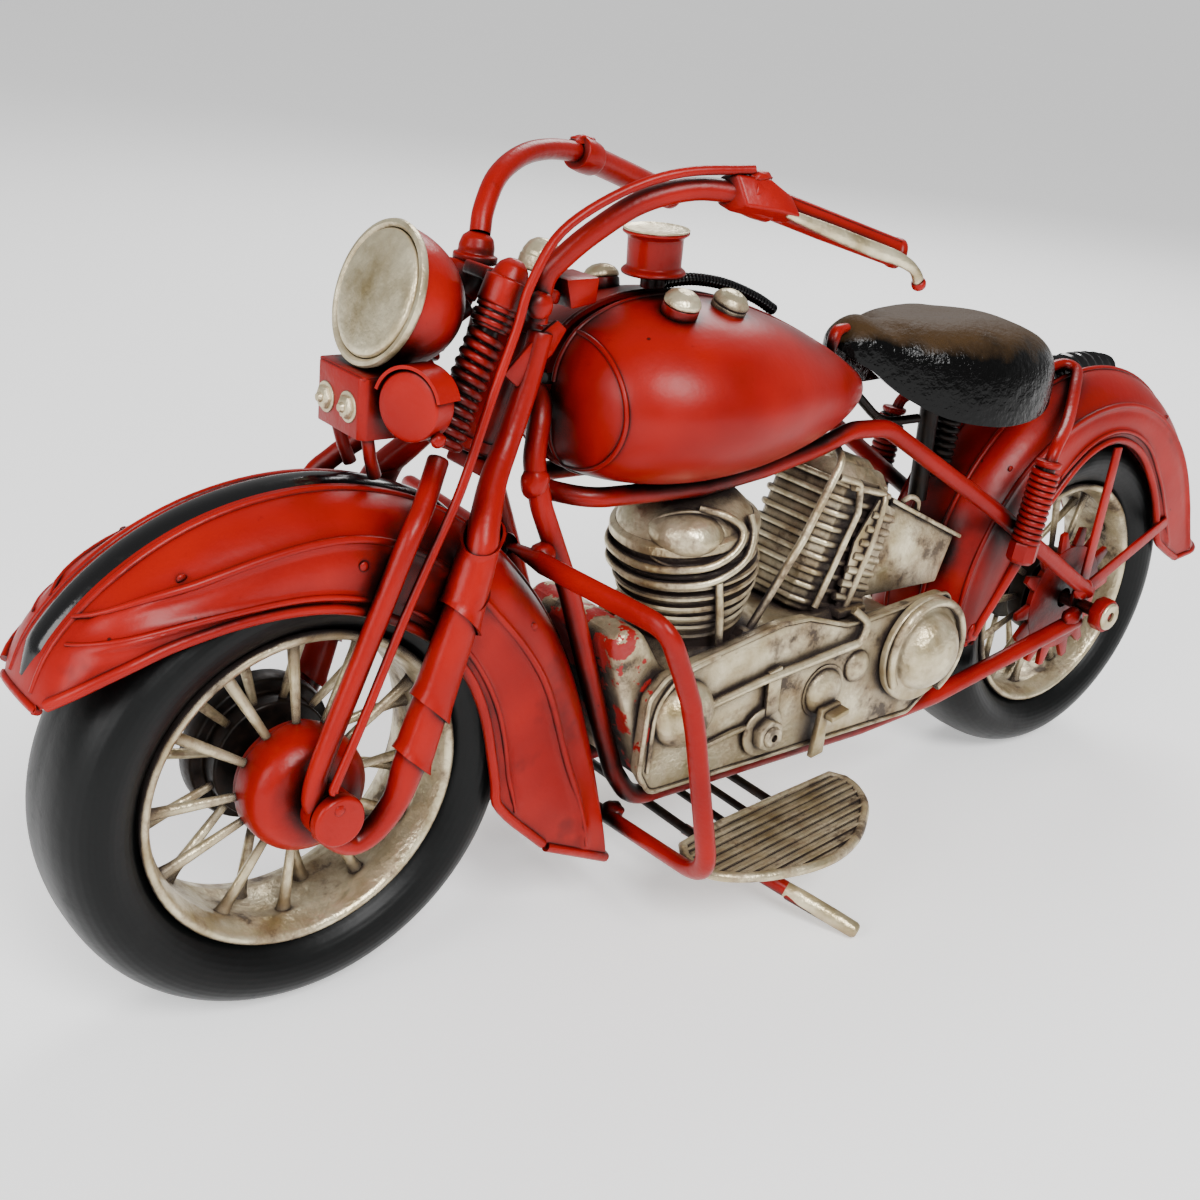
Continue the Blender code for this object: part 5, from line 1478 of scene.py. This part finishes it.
piece("speedometer_ribbed_hose", [(core, BLACK), (rings, BLACK)], "chassis",
    "speedometer_hose")

# %% [markdown]
# ## Saddle
# The saddle is a hard cast pan, lacquered black: not a cushion, so it has no seams and doesn't give. Its
# nose is a narrow rounded horn, the top is dished behind it, and the skirts hang down in a soft curve.

# %% Saddle, post and spring
SADDLE = [
    (-16.0, 102.4, 100.4, 2.2), (-18.0, 104.4, 98.8, 4.6), (-21.6, 106.0, 96.8, 6.6),
    (-27.0, 106.6, 92.8, 9.4), (-35.0, 107.2, 89.0, 14.6), (-45.0, 107.6, 87.4, 18.6),
    (-54.0, 107.0, 87.5, 19.3), (-62.0, 105.4, 88.4, 17.8), (-69.0, 103.2, 90.0, 14.2),
    (-74.0, 101.0, 92.2, 9.2), (-75.8, 99.2, 94.4, 5.0),
]
line = through([Vector((x, crest, skirt)) for x, crest, skirt, _ in SADDLE], 6)
wide = through([Vector((x, half, 0.0)) for x, _, _, half in SADDLE], 6)
rows = []
for spot, width in zip(line, wide):
    x, crest, skirt, half = spot.x, spot.y, spot.z, width.y
    row = []
    for k in range(41):
        turn = math.pi * (k / 40 - 0.5)
        u = math.sin(turn)
        y = half * u
        dish = -2.0 * math.exp(-(((x + 45) / 16) ** 2)) * math.exp(-((y / 8.5) ** 2))
        dish += -1.5 * math.exp(-(((x + 26.5) / 3.6) ** 2)) * math.exp(-((abs(y) - 5.0) / 4.5) ** 2)
        horn = 0.9 * math.exp(-(((x + 20) / 4.0) ** 2)) * math.exp(-((y / 4.0) ** 2))
        lift = abs(math.cos(turn)) ** 0.55
        hand = 0.35 * noise.noise(Vector((x * 0.12, y * 0.14, 5.0)))
        row.append((x, y, skirt + (crest - skirt) * lift + (dish + horn + hand) * lift ** 2))
    rows.append(row)
nose = [(-15.2, 0.0, 101.2)] * 41
rear = [(-76.4, 0.0, 97.0)] * 41
pan = lofted([nose, *rows, rear], capped=False, wrap=False)
top_face = max(pan.polygons, key=lambda face: face.center.z)
if top_face.normal.z < 0:
    pan.flip_normals()
pan = with_modifiers(
    pan, ("SOLIDIFY", {"thickness": 2.2, "offset": -1.0}),
    ("BEVEL", {"width": 0.7, "segments": 3, "limit_method": "ANGLE", "angle_limit": math.radians(50)}),
)
nose_clip = swept(through([
    (-13.0, 2.4, 99.4), (-12.4, 3.0, 102.6), (-13.6, 2.6, 104.4), (-17.0, 2.0, 104.8),
], 4), [0.8, 1.2, 1.2, 0.8], 12)
piece("saddle_cast_pan", [(pan, SADDLE_BLACK), (nose_clip, RED)], "chassis", "saddle",
    angle=60.0)
post = rod([(-47.4, 0.0, 103.4), (-50.0, 0.0, 66.0)], 2.0, DARK, sides=20)
wound = coil_spring((-55.4, 0.0, 86.4), (-54.6, 0.0, 70.4), 3.0, 9, 0.7, 1.2, (), (), DARK)
bridge = rod([(-49.0, 0.0, 87.0), (-52.0, 0.0, 87.6), (-55.6, 0.0, 86.6)], 1.1, DARK)
piece("saddle_post_and_spring", [(post, DARK), (bridge, DARK)] + [(m, DARK) for m in wound], "chassis",
    "saddle_post")


# %% [markdown]
# ## Engine
# The engine is several blocks soldered together: a case, a drive cover with a round clutch dome, a round
# front barrel with a hooped cap, and a square finned rear barrel that leans back. Fins are one plate set
# down along a line by a tree. Rods and small bosses dress the side that faces out.

# %% Case and drive cover
case = [
    (42.6, 55.0), (39.6, 57.6), (35.4, 56.6), (29.4, 47.8), (24.0, 46.0), (-24.0, 46.0), (-44.0, 43.4),
    (-46.0, 31.0), (-37.0, 26.2), (-24.0, 24.2), (30.0, 24.2), (33.4, 30.0),
]
case_parts = [(plate(case, -13.0, 13.6, edge=2.4, segments=5), SILVER_CASE)]
deck = rounded(lofted([
    [(30.0, -9.0, 46.4), (30.0, 13.4, 46.4), (-26.0, 13.4, 46.6), (-26.0, -9.0, 46.6)],
    [(24.0, -7.0, 50.0), (25.0, 11.4, 49.0), (-22.0, 11.8, 51.6), (-22.0, -7.0, 51.6)],
]), 0.5, 2)
case_parts.append((deck, SILVER))
piece("crankcase_block", case_parts, "chassis", "crankcase")

cover = [
    (35.4, 44.6), (32.0, 48.2), (26.0, 49.6), (4.0, 53.6), (-3.0, 53.4), (-14.0, 50.0), (-20.0, 50.0),
    (-44.0, 52.0), (-47.6, 44.0), (-44.0, 30.6), (-38.0, 25.8), (33.0, 25.4), (35.8, 30.0),
]
cover = [(p.x, p.y) for p in bent([(x, z, 0.0) for x, z in cover], 3.0, 4, True)]
edge_path = [(x, 17.0, z) for x, z in cover]
cover_parts = [(plate(cover, 13.9, 17.0, edge=0.9, segments=3), SILVER_CASE)]


def dome_on(at, radius, height, flange=0.0, seed=0.0):
    """A low dome facing out to the left, on an optional flange."""
    curve = [(radius * math.cos(math.radians(a)), height * math.sin(math.radians(a)))
        for a in range(90, -1, -9)]
    curve = [(0.0, height)] + curve[1:]
    if flange:
        curve += [(flange, 0.15), (flange + 0.1, -0.4), (flange, -1.4), (0.0, -1.4)]
    else:
        curve += [(radius, -1.4), (0.0, -1.4)]
    return turned(curve, at, (0, 1, 0), 40, 0.02, seed)


front_bulge = dome_on((27.4, 17.3, 40.6), 6.6, 4.4, 0.0, 2.0)
ridge = swept(through([(34.0, 17.2, 30.0), (33.8, 17.4, 42.0), (29.0, 17.4, 48.0), (20.0, 17.2, 50.4)], 6),
    [0.5] * 6, 10)
low_boss = dome_on((-10.0, 17.1, 36.8), 4.8, 1.9, 5.6, 3.0)
rear_boss = dome_on((-18.8, 17.1, 40.4), 3.4, 1.5, 0.0, 4.0)
bracket_l = plate([(-7.4, 34.4), (-12.6, 35.2), (-13.0, 33.8), (-9.4, 32.8), (-9.8, 24.6), (-6.4, 24.0)],
    18.8, 20.2, edge=0.3)
step_piece = plate([(-8.2, 33.6), (-12.8, 34.6), (-12.8, 33.4), (-8.2, 32.4)], 17.0, 22.4, edge=0.3)
shift_rod = rod([
    (25.0, 17.6, 40.2), (8.0, 18.3, 43.6), (-17.0, 18.4, 46.4), (-19.0, 18.2, 50.0), (-16.0, 16.4, 52.6),
], 0.9, SILVER, bend=2.4)
tab = plate([(4.0, 45.6), (7.4, 44.8), (6.6, 35.0), (3.4, 36.0)], 17.6, 18.6, edge=0.3)
foot_rod = swept([(24.0, 17.4, 31.8), (14.0, 17.6, 33.6), (10.0, 17.6, 34.0)], [0.6, 0.7, 0.5], 8)
cover_parts += [(m, SILVER) for m in (front_bulge, ridge, low_boss, rear_boss, bracket_l, step_piece,
    shift_rod, tab, foot_rod)]
cover_parts.append((grown(BENT_ROD, line_mesh(edge_path, True), SILVER, Radius=0.45, Sides=8), SILVER))
piece("primary_drive_cover", cover_parts, "chassis", "primary_cover")

clutch = [
    (0.0, 5.4), (2.2, 5.25), (4.2, 4.75), (6.0, 3.8), (7.4, 2.5), (8.2, 1.1), (8.5, 0.1), (9.4, -0.2),
    (11.0, -0.1), (11.5, -0.5), (11.6, -1.9), (0.0, -1.9),
]
clutch_mesh = turned(soft_profile(clutch, 0.4), (-36.8, 19.4, 41.2), (0, 1, 0), 64, 0.012, 8.0)
c_ring = [Vector((-36.8, 19.9, 41.2)) + Vector((10.6 * math.cos(a), 0, 10.6 * math.sin(a)))
    for a in (math.radians(-35 + k * 5) for k in range(56))]
ring_mesh = grown(BENT_ROD, line_mesh(c_ring), SILVER, Radius=1.0, Sides=12)
piece("clutch_dome_cover", [(clutch_mesh, SILVER_CLEAN), (ring_mesh, SILVER)], "chassis",
    "clutch_cover")
flange = turned(soft_profile([(0.0, 0.0), (4.9, 0.0), (5.1, -0.4), (4.9, -0.8), (0.0, -0.8)], 0.2),
    (6.4, 18.3, 32.2), (0, 1, 0), 40, 0.03)
hex_nut = rounded(lofted([[(x, y, z) for x, z in nut_outline(3.3, (6.4, 32.2), 6, 0.4)]
    for y in (18.3, 20.6)]), 0.3, 2)
collar = turned(soft_profile([(0.8, 21.4), (1.9, 21.4), (2.1, 20.8), (2.1, 20.0), (0.8, 20.0), (0.8, 21.4)],
    0.15), (6.4, 0.0, 32.2), (0, 1, 0), 28)
piece("sprocket_hex_nut", [(m, SILVER) for m in (flange, hex_nut, collar)], "chassis",
    "sprocket_nut")

# %% Front barrel: a round barrel with rings, a domed cap, a bulge on its left and two wire hoops
FOOT, BARREL_AXIS, HEIGHT = Vector((14.4, 2.0, 48.2)), Vector((0.18, 0.0, 0.983)), 31.0
core = [
    (0.0, HEIGHT), (4.0, HEIGHT - 0.4), (7.4, HEIGHT - 1.5), (10.2, HEIGHT - 3.2), (12.2, HEIGHT - 5.6),
    (13.0, HEIGHT - 7.6), (13.0, HEIGHT - 9.4), (12.6, 20.0), (12.0, 12.0), (10.4, 5.0), (9.4, 0.0),
    (0.0, 0.0),
]
barrel = turned(soft_profile(core, 0.8), FOOT, BARREL_AXIS, 64)
lip = turned(soft_profile([
    (12.6, HEIGHT - 6.4), (13.7, HEIGHT - 7.0), (13.9, HEIGHT - 8.6), (12.6, HEIGHT - 9.2),
], 0.3), FOOT, BARREL_AXIS, 64, 0.01)
fin_ring = turned([
    (11.6, 0.62), (13.4, 0.55), (13.75, 0.2), (13.75, -0.25), (13.4, -0.55), (11.6, -0.62), (11.6, 0.62),
], (0, 0, 0), (0, 0, 1), 56)
upper = grown(ALONG_LINE, fin_ring, SILVER, Count=4, Step=(0.0, 0.0, -2.1), Unevenness=0.03)
placed(upper, FOOT + BARREL_AXIS.normalized() * 20.2, BARREL_AXIS)
rings = []
for k in range(4):
    low = turned([
        (9.4, 0.6), (12.9 - k * 0.8, 0.5), (13.1 - k * 0.8, 0.0), (12.9 - k * 0.8, -0.5), (9.4, -0.6),
        (9.4, 0.6),
    ], (0, 0, 0), (0, 0, 1), 48)
    rings.append(placed(low, FOOT + BARREL_AXIS.normalized() * (11.4 - 2.3 * k), BARREL_AXIS))
axis = BARREL_AXIS.normalized()
ahead_axis = (Vector((1, 0, 0)) - axis * axis.x).normalized()
left_axis = axis.cross(ahead_axis)


def on_barrel(angle, up, radius):
    """A point by the angle round the barrel from its front, the height up its axis and the radius."""
    a = math.radians(angle)
    return FOOT + axis * up + (ahead_axis * math.cos(a) + left_axis * math.sin(a)) * radius


bulge = blob(on_barrel(52, 24.6, 7.6), (7.2, 7.4, 4.6), 1.0, 0.05)
seam = [on_barrel(52 + 40 * math.cos(t), 23.6 + 4.6 * math.sin(t) + 1.2, 13.4 - 1.9 * (1 + math.sin(t)))
        for t in (2 * math.pi * k / 48 for k in range(48))]
hoops = [grown(BENT_ROD, line_mesh(seam, True), SILVER, Radius=0.4, Sides=10)]
for route in (
    [
        (-70, 21.6, 14.0), (-25, 20.7, 14.3), (20, 20.2, 14.4), (62, 20.5, 14.4), (88, 22.2, 14.2),
        (99, 25.2, 13.6), (90, 28.0, 11.8), (66, 29.8, 9.4),
    ],
    [
        (-70, 18.4, 14.0), (-25, 17.6, 14.3), (20, 17.2, 14.4), (62, 17.4, 14.5), (94, 19.4, 14.4),
        (110, 23.2, 14.0), (114, 26.8, 13.0),
    ],
    [(74, 17.2, 14.3), (76, 10.0, 13.6), (78, 2.0, 12.2)],
):
    path = through([on_barrel(*p) for p in route], 6)
    hoops.append(grown(BENT_ROD, line_mesh(path), SILVER, Radius=0.75, Sides=12))
piece("front_barrel_turned", [(m, SILVER) for m in (barrel, lip, upper, *rings, bulge, *hoops)], "chassis",
    "front_cylinder")

# %% Rear barrel: square fins on a leaning block, rocker box and pushrods
LEAN = Vector((-0.3, 0.0, 0.954)).normalized()
AHEAD = Vector((LEAN.z, 0.0, -LEAN.x))
REAR_FOOT = Vector((-13.6, 1.0, 49.6))


def square(up, half, cut=0.25):
    e, c = half, half * cut
    outline = [
        (e, e - c), (e - c, e), (c - e, e), (-e, e - c), (-e, c - e), (c - e, -e), (e - c, -e),
        (e, c - e),
    ]
    return [REAR_FOOT + LEAN * up + AHEAD * u * 0.92 + Vector((0, v, 0)) for u, v in outline]


block = rounded(lofted([square(0.0, 9.1), square(27.4, 9.1), square(30.0, 7.0)]), 0.6, 3)
fin = rounded(lofted([square(0.0, 9.9), square(1.25, 9.9)]), 0.45, 3)
fins = grown(ALONG_LINE, fin, SILVER, Count=9, Step=tuple(LEAN * 3.0), Unevenness=0.0)
fins.transform(Matrix.Translation(LEAN * 1.4))
rocker = rounded(lofted([square(26.8, 6.6, 0.35), square(29.6, 6.6, 0.35), square(31.4, 4.6, 0.4)]), 0.8, 3)
plate_side = [REAR_FOOT + LEAN * up + AHEAD * u + Vector((0, 10.4, 0)) for up,
    u in ((2.0, -8.6), (24.0, -8.0), (25.2, -2.0), (16.0, 0.6), (2.0, -1.6))]
side_panel = rounded(lofted([plate_side, [p + Vector((0, 0.7, 0)) for p in plate_side]]), 0.25)
ribs = []
for k in range(7):
    at = REAR_FOOT + LEAN * (4.6 + k * 2.9) + Vector((0, 10.9, 0))
    ribs.append(swept([at + AHEAD * -8.4, at + AHEAD * -4.0, at + AHEAD * (0.4 - 0.3 * k)], [0.8, 1.0, 0.8],
        12))
pushrods = [
    rod([(-12.2, 8.6, 83.6), (-10.2, 12.2, 82.4), (-2.2, 12.6, 67.7), (8.8, 12.2, 50.4)], 0.8, SILVER,
        bend=5.0),
    rod([(-25.4, 9.4, 74.6), (-24.4, 12.4, 73.2), (-22.4, 12.6, 64.8), (-17.6, 12.6, 51.4)], 0.75, SILVER,
        bend=4.0),
    rod([(-10.4, 11.9, 79.0), (-16.6, 12.0, 77.0), (-17.6, 11.8, 71.0), (-9.4, 12.0, 52.6)], 0.7, SILVER,
        bend=1.6),
    rod([(-15.0, 11.8, 76.4), (-24.6, 11.6, 73.8)], 0.7, SILVER),
]
nuts = [turned(soft_profile([(0.0, 1.4), (1.5, 1.3), (2.3, 0.9), (2.4, -1.0), (0.0, -1.2)], 0.2),
    (9.2, 12.2, 50.6), (-0.35, 0, 1), 6),
        turned(soft_profile([(0.0, 0.7), (3.2, 0.6), (3.4, -0.5), (0.0, -0.6)], 0.2), (9.3, 12.2, 49.6),
            (-0.2, 0, 1), 32)]
seat = plate([(-14.6, 51.6), (-22.0, 51.8), (-22.4, 50.4), (-14.4, 50.0)], 9.0, 14.2, edge=0.3)
piece("rear_barrel_finned", [(m, SILVER) for m in (block, fins, rocker, side_panel, *ribs, *pushrods, *nuts,
    seat)], "chassis", "rear_cylinder")

box = [(-30.2, 70.8), (-52.6, 60.6), (-49.4, 50.4), (-24.2, 50.8)]
lid = [(-29.2, 71.0), (-53.6, 59.9), (-53.9, 60.7), (-29.4, 71.9)]
strap = plate([(-33.4, 69.6), (-40.8, 66.2), (-41.2, 67.0), (-33.8, 70.4)], -3.0, 6.0, edge=0.2)
clip = swept(through([(-34.0, 8.8, 70.0), (-35.6, 9.6, 71.2), (-38.0, 9.6, 70.0), (-38.8, 9.2, 67.6)], 4),
    [0.55] * 4, 8)
piece("intake_box_folded", [(plate(box, -6.0, 9.4, edge=0.5), SILVER),
    (plate(lid, -6.8, 10.4, edge=0.25), SILVER),
                            (strap, SILVER), (clip, SILVER)], "chassis", "intake_box")
print("engine done:", len(MADE), "pieces so far")


# %% [markdown]
# ## Guards, boards and running gear
# The footboard is a half moon of tin with a rolled rim and about ten ribs pressed along it. The ribs are
# one bar set down along a line, then trimmed to the board's outline.

# %% Footboards
BOARD_Z = 17.0
BOARD_INNER = [(28.8, 23.6), (18.0, 21.4), (0.0, 19.4), (-15.8, 17.8)]
BOARD_OUTER = [
    (-17.4, 20.6), (-16.8, 24.2), (-13.8, 29.2), (-9.2, 33.2), (-2.4, 37.6), (5.2, 40.2), (12.0, 40.6),
    (19.0, 39.4), (25.4, 37.2), (29.8, 34.2), (31.4, 30.6), (30.8, 26.4),
]
outline = BOARD_INNER + BOARD_OUTER


def board_ribs():
    """Bars along the board, each cut where it meets the rim."""
    bar = lofted([[(x, 0.42 * math.cos(a), 0.34 * math.sin(a))
        for a in (math.pi * k / 4 for k in range(8))] for x in (-60.0, 60.0)])
    turn = Matrix.Rotation(math.atan2(5.8, 44.6), 4, "Z")
    step = turn @ Vector((0.0, 1.95, 0.0))
    bar.transform(turn)
    made = grown(ALONG_LINE, bar, SILVER, Count=12, Step=tuple(step), Unevenness=0.0)
    made.transform(Matrix.Translation((6.0, 20.6, BOARD_Z + 0.1)))
    bm = bmesh.new()
    bm.from_mesh(made)
    # slice every bar by each side of the outline and drop what lies outside
    count = len(outline)
    centre = Vector((sum(p[0] for p in outline) / count, sum(p[1] for p in outline) / count))
    for i in range(count):
        a, b = Vector(outline[i]), Vector(outline[(i + 1) % count])
        normal = Vector((b.y - a.y, a.x - b.x))
        if normal.dot(centre - a) > 0:
            normal = -normal
        geometry = bm.verts[:] + bm.edges[:] + bm.faces[:]
        bmesh.ops.bisect_plane(bm, geom=geometry, plane_co=(a.x, a.y, 0.0),
            plane_no=(normal.x, normal.y, 0.0), clear_outer=True)
    bmesh.ops.holes_fill(bm, edges=[e for e in bm.edges if e.is_boundary], sides=0)
    trimmed = bpy.data.meshes.new("ribs")
    bm.to_mesh(trimmed)
    bm.free()
    return trimmed


ribs_mesh = board_ribs()
rim_path = [(x, y, BOARD_Z - 0.35) for x, y in outline]
rim_smooth = [Vector(p) for p in rim_path[:4]] + through(rim_path[4:], 4)
for side_name, side in SIDES:
    base = plate(outline, BOARD_Z - 1.4, BOARD_Z - 0.1, plane="XY", edge=0.3)
    edge = grown(BENT_ROD, line_mesh(rim_smooth, True), SILVER, Radius=0.95, Sides=12)
    parts = [base, edge, ribs_mesh.copy()]
    parts = parts if side == LEFT else [other_side(m) for m in parts]
    piece("footboard_pressing_" + side_name, [(m, SILVER) for m in parts], "chassis",
        "footboard_" + side_name)
for name, x in (("front", 21.4), ("rear", -1.0)):
    ends = [(x, -32.0, BOARD_Z - 2.9), (x, 32.0, BOARD_Z - 2.9)]
    flat = rod(ends, 0.95, DARK)
    parts = [(flat, DARK)]
    for side in (LEFT, RIGHT):
        parts.append((blob((x, side * 31.0, BOARD_Z - 2.6), (1.6, 1.8, 0.7), x + side, 0.2), DARK))
    if name == "rear":
        for extra in (7.0, 13.6):
            parts.append((rod([(extra, -20.0, BOARD_Z - 2.3), (extra, 20.6, BOARD_Z - 2.3)], 0.8, DARK),
                DARK))
    piece("footboard_rod_" + name, parts, "chassis", "footboard_bar_" + name)

# %% Crash bar and side stand
half = [
    (56.8, 0.0, 71.4), (56.8, 10.0, 71.4), (53.2, 38.0, 70.2), (49.4, 38.3, 62.4), (46.6, 38.4, 56.4),
    (44.6, 38.4, 50.4), (36.2, 38.2, 19.6), (34.4, 6.0, 16.4), (34.4, 0.0, 16.4),
]
ring = [half[0], *half[1:-1], half[-1], *flip(reversed(half[1:-1]))]
guard_bar = rod(ring, TUBE_R, RED, bend=9.0, loop=True, sides=22)
welds = [blob((55.2, s * 8.0, 72.2), (2.2, 2.2, 2.0), s * 1.5) for s in (1, -1)]
welds += [blob((33.6, s * 8.8, 17.8), (2.1, 2.4, 1.7), s * 2.5) for s in (1, -1)]
piece("crash_bar_bent_rod", [(guard_bar, RED)] + [(w, RED) for w in welds], "chassis",
    "crash_bar")

PIVOT, TIP = Vector((17.6, 16.8, 11.4)), Vector((1.2, 45.0, 1.3))
lean = (TIP - PIVOT).normalized()
upper_leg = swept([PIVOT, PIVOT + lean * 8, PIVOT + lean * 19.0], [1.5, 1.5, 1.55], 18)
lower_leg = swept([PIVOT + lean * 18.0, PIVOT + lean * 22.0, PIVOT + lean * 29.0, TIP - lean * 1.0,
    TIP - lean * 0.15], [1.5, 1.68, 1.68, 1.6, 1.3], 18)
under = swept([PIVOT + lean * 19.0 + Vector((0.3, 0, -0.35)), TIP + Vector((0.4, -0.3, -0.1)) - lean * 1.0],
    [1.35, 1.3], 14)
piece("side_stand_leg", [(upper_leg, RED), (lower_leg, SILVER_CLEAN), (under, RED)], "stand",
    "side_stand")
lug = rod([(20.8, 15.4, 13.6), (19.4, 16.0, 12.6)], 1.1, RED)
piece("side_stand_lug", [(lug, RED)], "chassis")

# %% Rear springs, hoops and flat stays
SHOCK_Y = 20.9
HOOP = [
    (-63.4, SHOCK_Y, 77.0), (-65.4, 20.4, 81.4), (-71.6, 17.6, 84.0), (-78.0, 13.8, 86.4),
    (-84.0, 9.8, 90.0), (-88.6, 6.2, 92.6), (-87.4, 3.4, 93.4), (-82.4, 2.8, 92.2), (-77.0, 2.8, 89.8),
    (-70.3, 4.1, 85.0),
]
TAIL = [(-61.4, SHOCK_Y, 61.2), (-61.0, 20.5, 57.6), (-58.4, 18.4, 47.6), (-55.4, 17.2, 40.0)]
for side_name, side in SIDES:
    mirrored = list if side == LEFT else flip
    wound = coil_spring((-63.2, side * SHOCK_Y, 78.4), (-61.2, side * SHOCK_Y, 61.6), 3.1, 12, 0.7, 1.8,
                        [(0, 0.9), (2.6, 0.8), (2.8, 0.2), (2.4, -0.6), (0, -0.6)], (), RED)
    nut = turned(soft_profile([(0.0, 1.2), (2.9, 1.1), (3.1, 0.6), (3.1, -2.8), (2.4, -3.6), (0.0, -3.9)],
        0.3),
                 (-61.2, side * SHOCK_Y, 60.8), (-0.12, 0, 1), 8)
    hoop_rod = swept(through(mirrored(HOOP), 6), [1.3] * 8, 14)
    tail_rod = swept(through(mirrored(TAIL), 6), [1.5, 1.1, 0.9, 0.9], 12)
    flat_end = blob((-55.6, side * 17.0, 40.6), (1.8, 0.7, 2.2), side * 9.0, 0.1)
    piece("rear_spring_coil_" + side_name, [(m, RED) for m in (*wound, nut, hoop_rod, tail_rod, flat_end)],
        "chassis",
          "rear_shock_" + side_name)
    base, top, tip = (-97.5, 41.2), (-98.6, 76.6), (-128.0, 55.0)
    arms = []
    for end, sway in ((top, 0.0), (tip, 0.4)):
        along = Vector((end[0] - base[0], 0, end[1] - base[1])).normalized()
        across = Vector((along.z, 0, -along.x)) * 1.35
        start_at, end_at = Vector((base[0], 0, base[1])), Vector((end[0], 0, end[1]))
        outline = [start_at + across * 1.2, end_at + across, end_at - across, start_at - across * 1.2]
        low, high = sorted((side * (14.2 - sway), side * (15.0 - sway)))
        arms.append(rounded(lofted([[(p.x, y, p.z) for p in outline] for y in (low, high)]), 0.25))
    joint = turned(soft_profile([(0.0, 0.5), (3.4, 0.5), (3.4, -0.5), (0.0, -0.5)], 0.2),
        (-97.5, side * 14.7, 41.0), (0, 1, 0), 28)
    piece("mudguard_flat_stay_" + side_name, [(m, RED) for m in arms + [joint]], "chassis",
        "fender_stay_" + side_name)

# %% Exhaust on the right side
PIPE = [
    (12.0, -15.8, 51.0), (20.0, -17.6, 43.0), (20.0, -19.6, 32.0), (-30.0, -20.6, 29.0),
    (-92.0, -21.4, 28.0),
]
pipe = swept(bent(PIPE, 9.0, 8), [2.1, 2.1], 20)
muffler = turned(soft_profile([
    (0.0, 27.2), (2.5, 27.0), (3.4, 25.6), (4.4, 22.6), (4.6, 10.0), (4.6, -20.0), (3.3, -26.6),
    (2.3, -27.2), (0.0, -27.2),
], 0.8),
                 (-60.0, -21.0, 28.5), (1, 0.01, 0.016), 40)
straps = [turned(soft_profile([(4.4, 0.9), (4.95, 0.7), (4.95, -0.7), (4.4, -0.9)], 0.2),
    (x, -21.0, 28.5 + (x + 60) * 0.016), (1, 0.01, 0.016), 32) for x in (-76.0, -42.0)]
piece("exhaust_pipe_and_silencer", [(m, SILVER) for m in (pipe, muffler, *straps)], "chassis",
    "exhaust_pipe")
print("all pieces:", len(MADE), "faces:", sum(count for _, count in MADE))


# %% [markdown]
# ## Camera, floor and light
# The camera stands a little above the machine, ahead of it and to its left. The floor is plain and pale,
# and three large soft lamps with a bright world give the even light of a studio table.

# %% Camera
cam_data = bpy.data.cameras.new("camera")
camera = bpy.data.objects.new("camera", cam_data)
bpy.context.scene.collection.objects.link(camera)
up = Vector((-0.1598, -0.3569, 0.9203))
back = Vector((0.6024, 0.7033, 0.3774)).normalized()
right = up.cross(back).normalized()
up = back.cross(right)
stand_at = Matrix((right, up, back)).transposed().to_4x4()
stand_at.translation = (Vector((197.2, 189.5, 158.9)) + SHIFT) * 0.001
camera.matrix_world = stand_at
cam_data.lens = 44.8
cam_data.sensor_width = 36.0
cam_data.clip_start = 0.01
cam_data.clip_end = 20.0
bpy.context.scene.camera = camera

# %% Floor and light
FILL, GLOW = 0.42, 0.5
FAR_FLOOR = FILL + 0.46
floor_mesh = raw_mesh(lambda bm: bmesh.ops.create_grid(bm, x_segments=2, y_segments=2, size=60.0),
    tidy=False)
floor = bpy.data.objects.new("studio_floor", floor_mesh)
bpy.context.scene.collection.objects.link(floor)
floor.location.z = -0.0002
floor_finish, _, floor_shader, _ = new_finish("pale_studio_floor", Roughness=0.9)
floor_shader.inputs["Base Color"].default_value = linear("F4F4F4")
floor_shader.inputs["Emission Color"].default_value = linear("FFFFFF")
floor_shader.inputs["Emission Strength"].default_value = GLOW
floor_mesh.materials.append(floor_finish)


def soft_lamp(name, at, towards, size, power):
    data = bpy.data.lights.new(name, "AREA")
    data.shape = "DISK"
    data.size = size
    data.energy = power
    lamp = bpy.data.objects.new(name, data)
    bpy.context.scene.collection.objects.link(lamp)
    lamp.location = at
    lamp.rotation_mode = "QUATERNION"
    lamp.rotation_quaternion = (Vector(towards) - Vector(at)).to_track_quat("-Z", "Y")
    return lamp


soft_lamp("key_softbox", (0.25, 0.75, 0.75), (0.0, 0.0, 0.06), 0.45, 13.0)
soft_lamp("front_softbox", (0.85, 0.15, 0.4), (0.0, 0.0, 0.06), 0.5, 5.0)
soft_lamp("rear_softbox", (-0.6, -0.5, 0.7), (0.0, 0.0, 0.06), 0.5, 6.0)

world = bpy.data.worlds.new("studio")
bpy.context.scene.world = world
world.use_nodes = True
backdrop = world.node_tree.nodes["Background"]
backdrop.inputs["Color"].default_value = (1.0, 1.0, 1.0, 1.0)
rays = add_node(world.node_tree, "ShaderNodeLightPath")
seen = calc(world.node_tree, "MULTIPLY", rays.outputs["Is Camera Ray"], FAR_FLOOR - FILL)
world.node_tree.links.new(calc(world.node_tree, "ADD", seen, FILL), backdrop.inputs["Strength"])
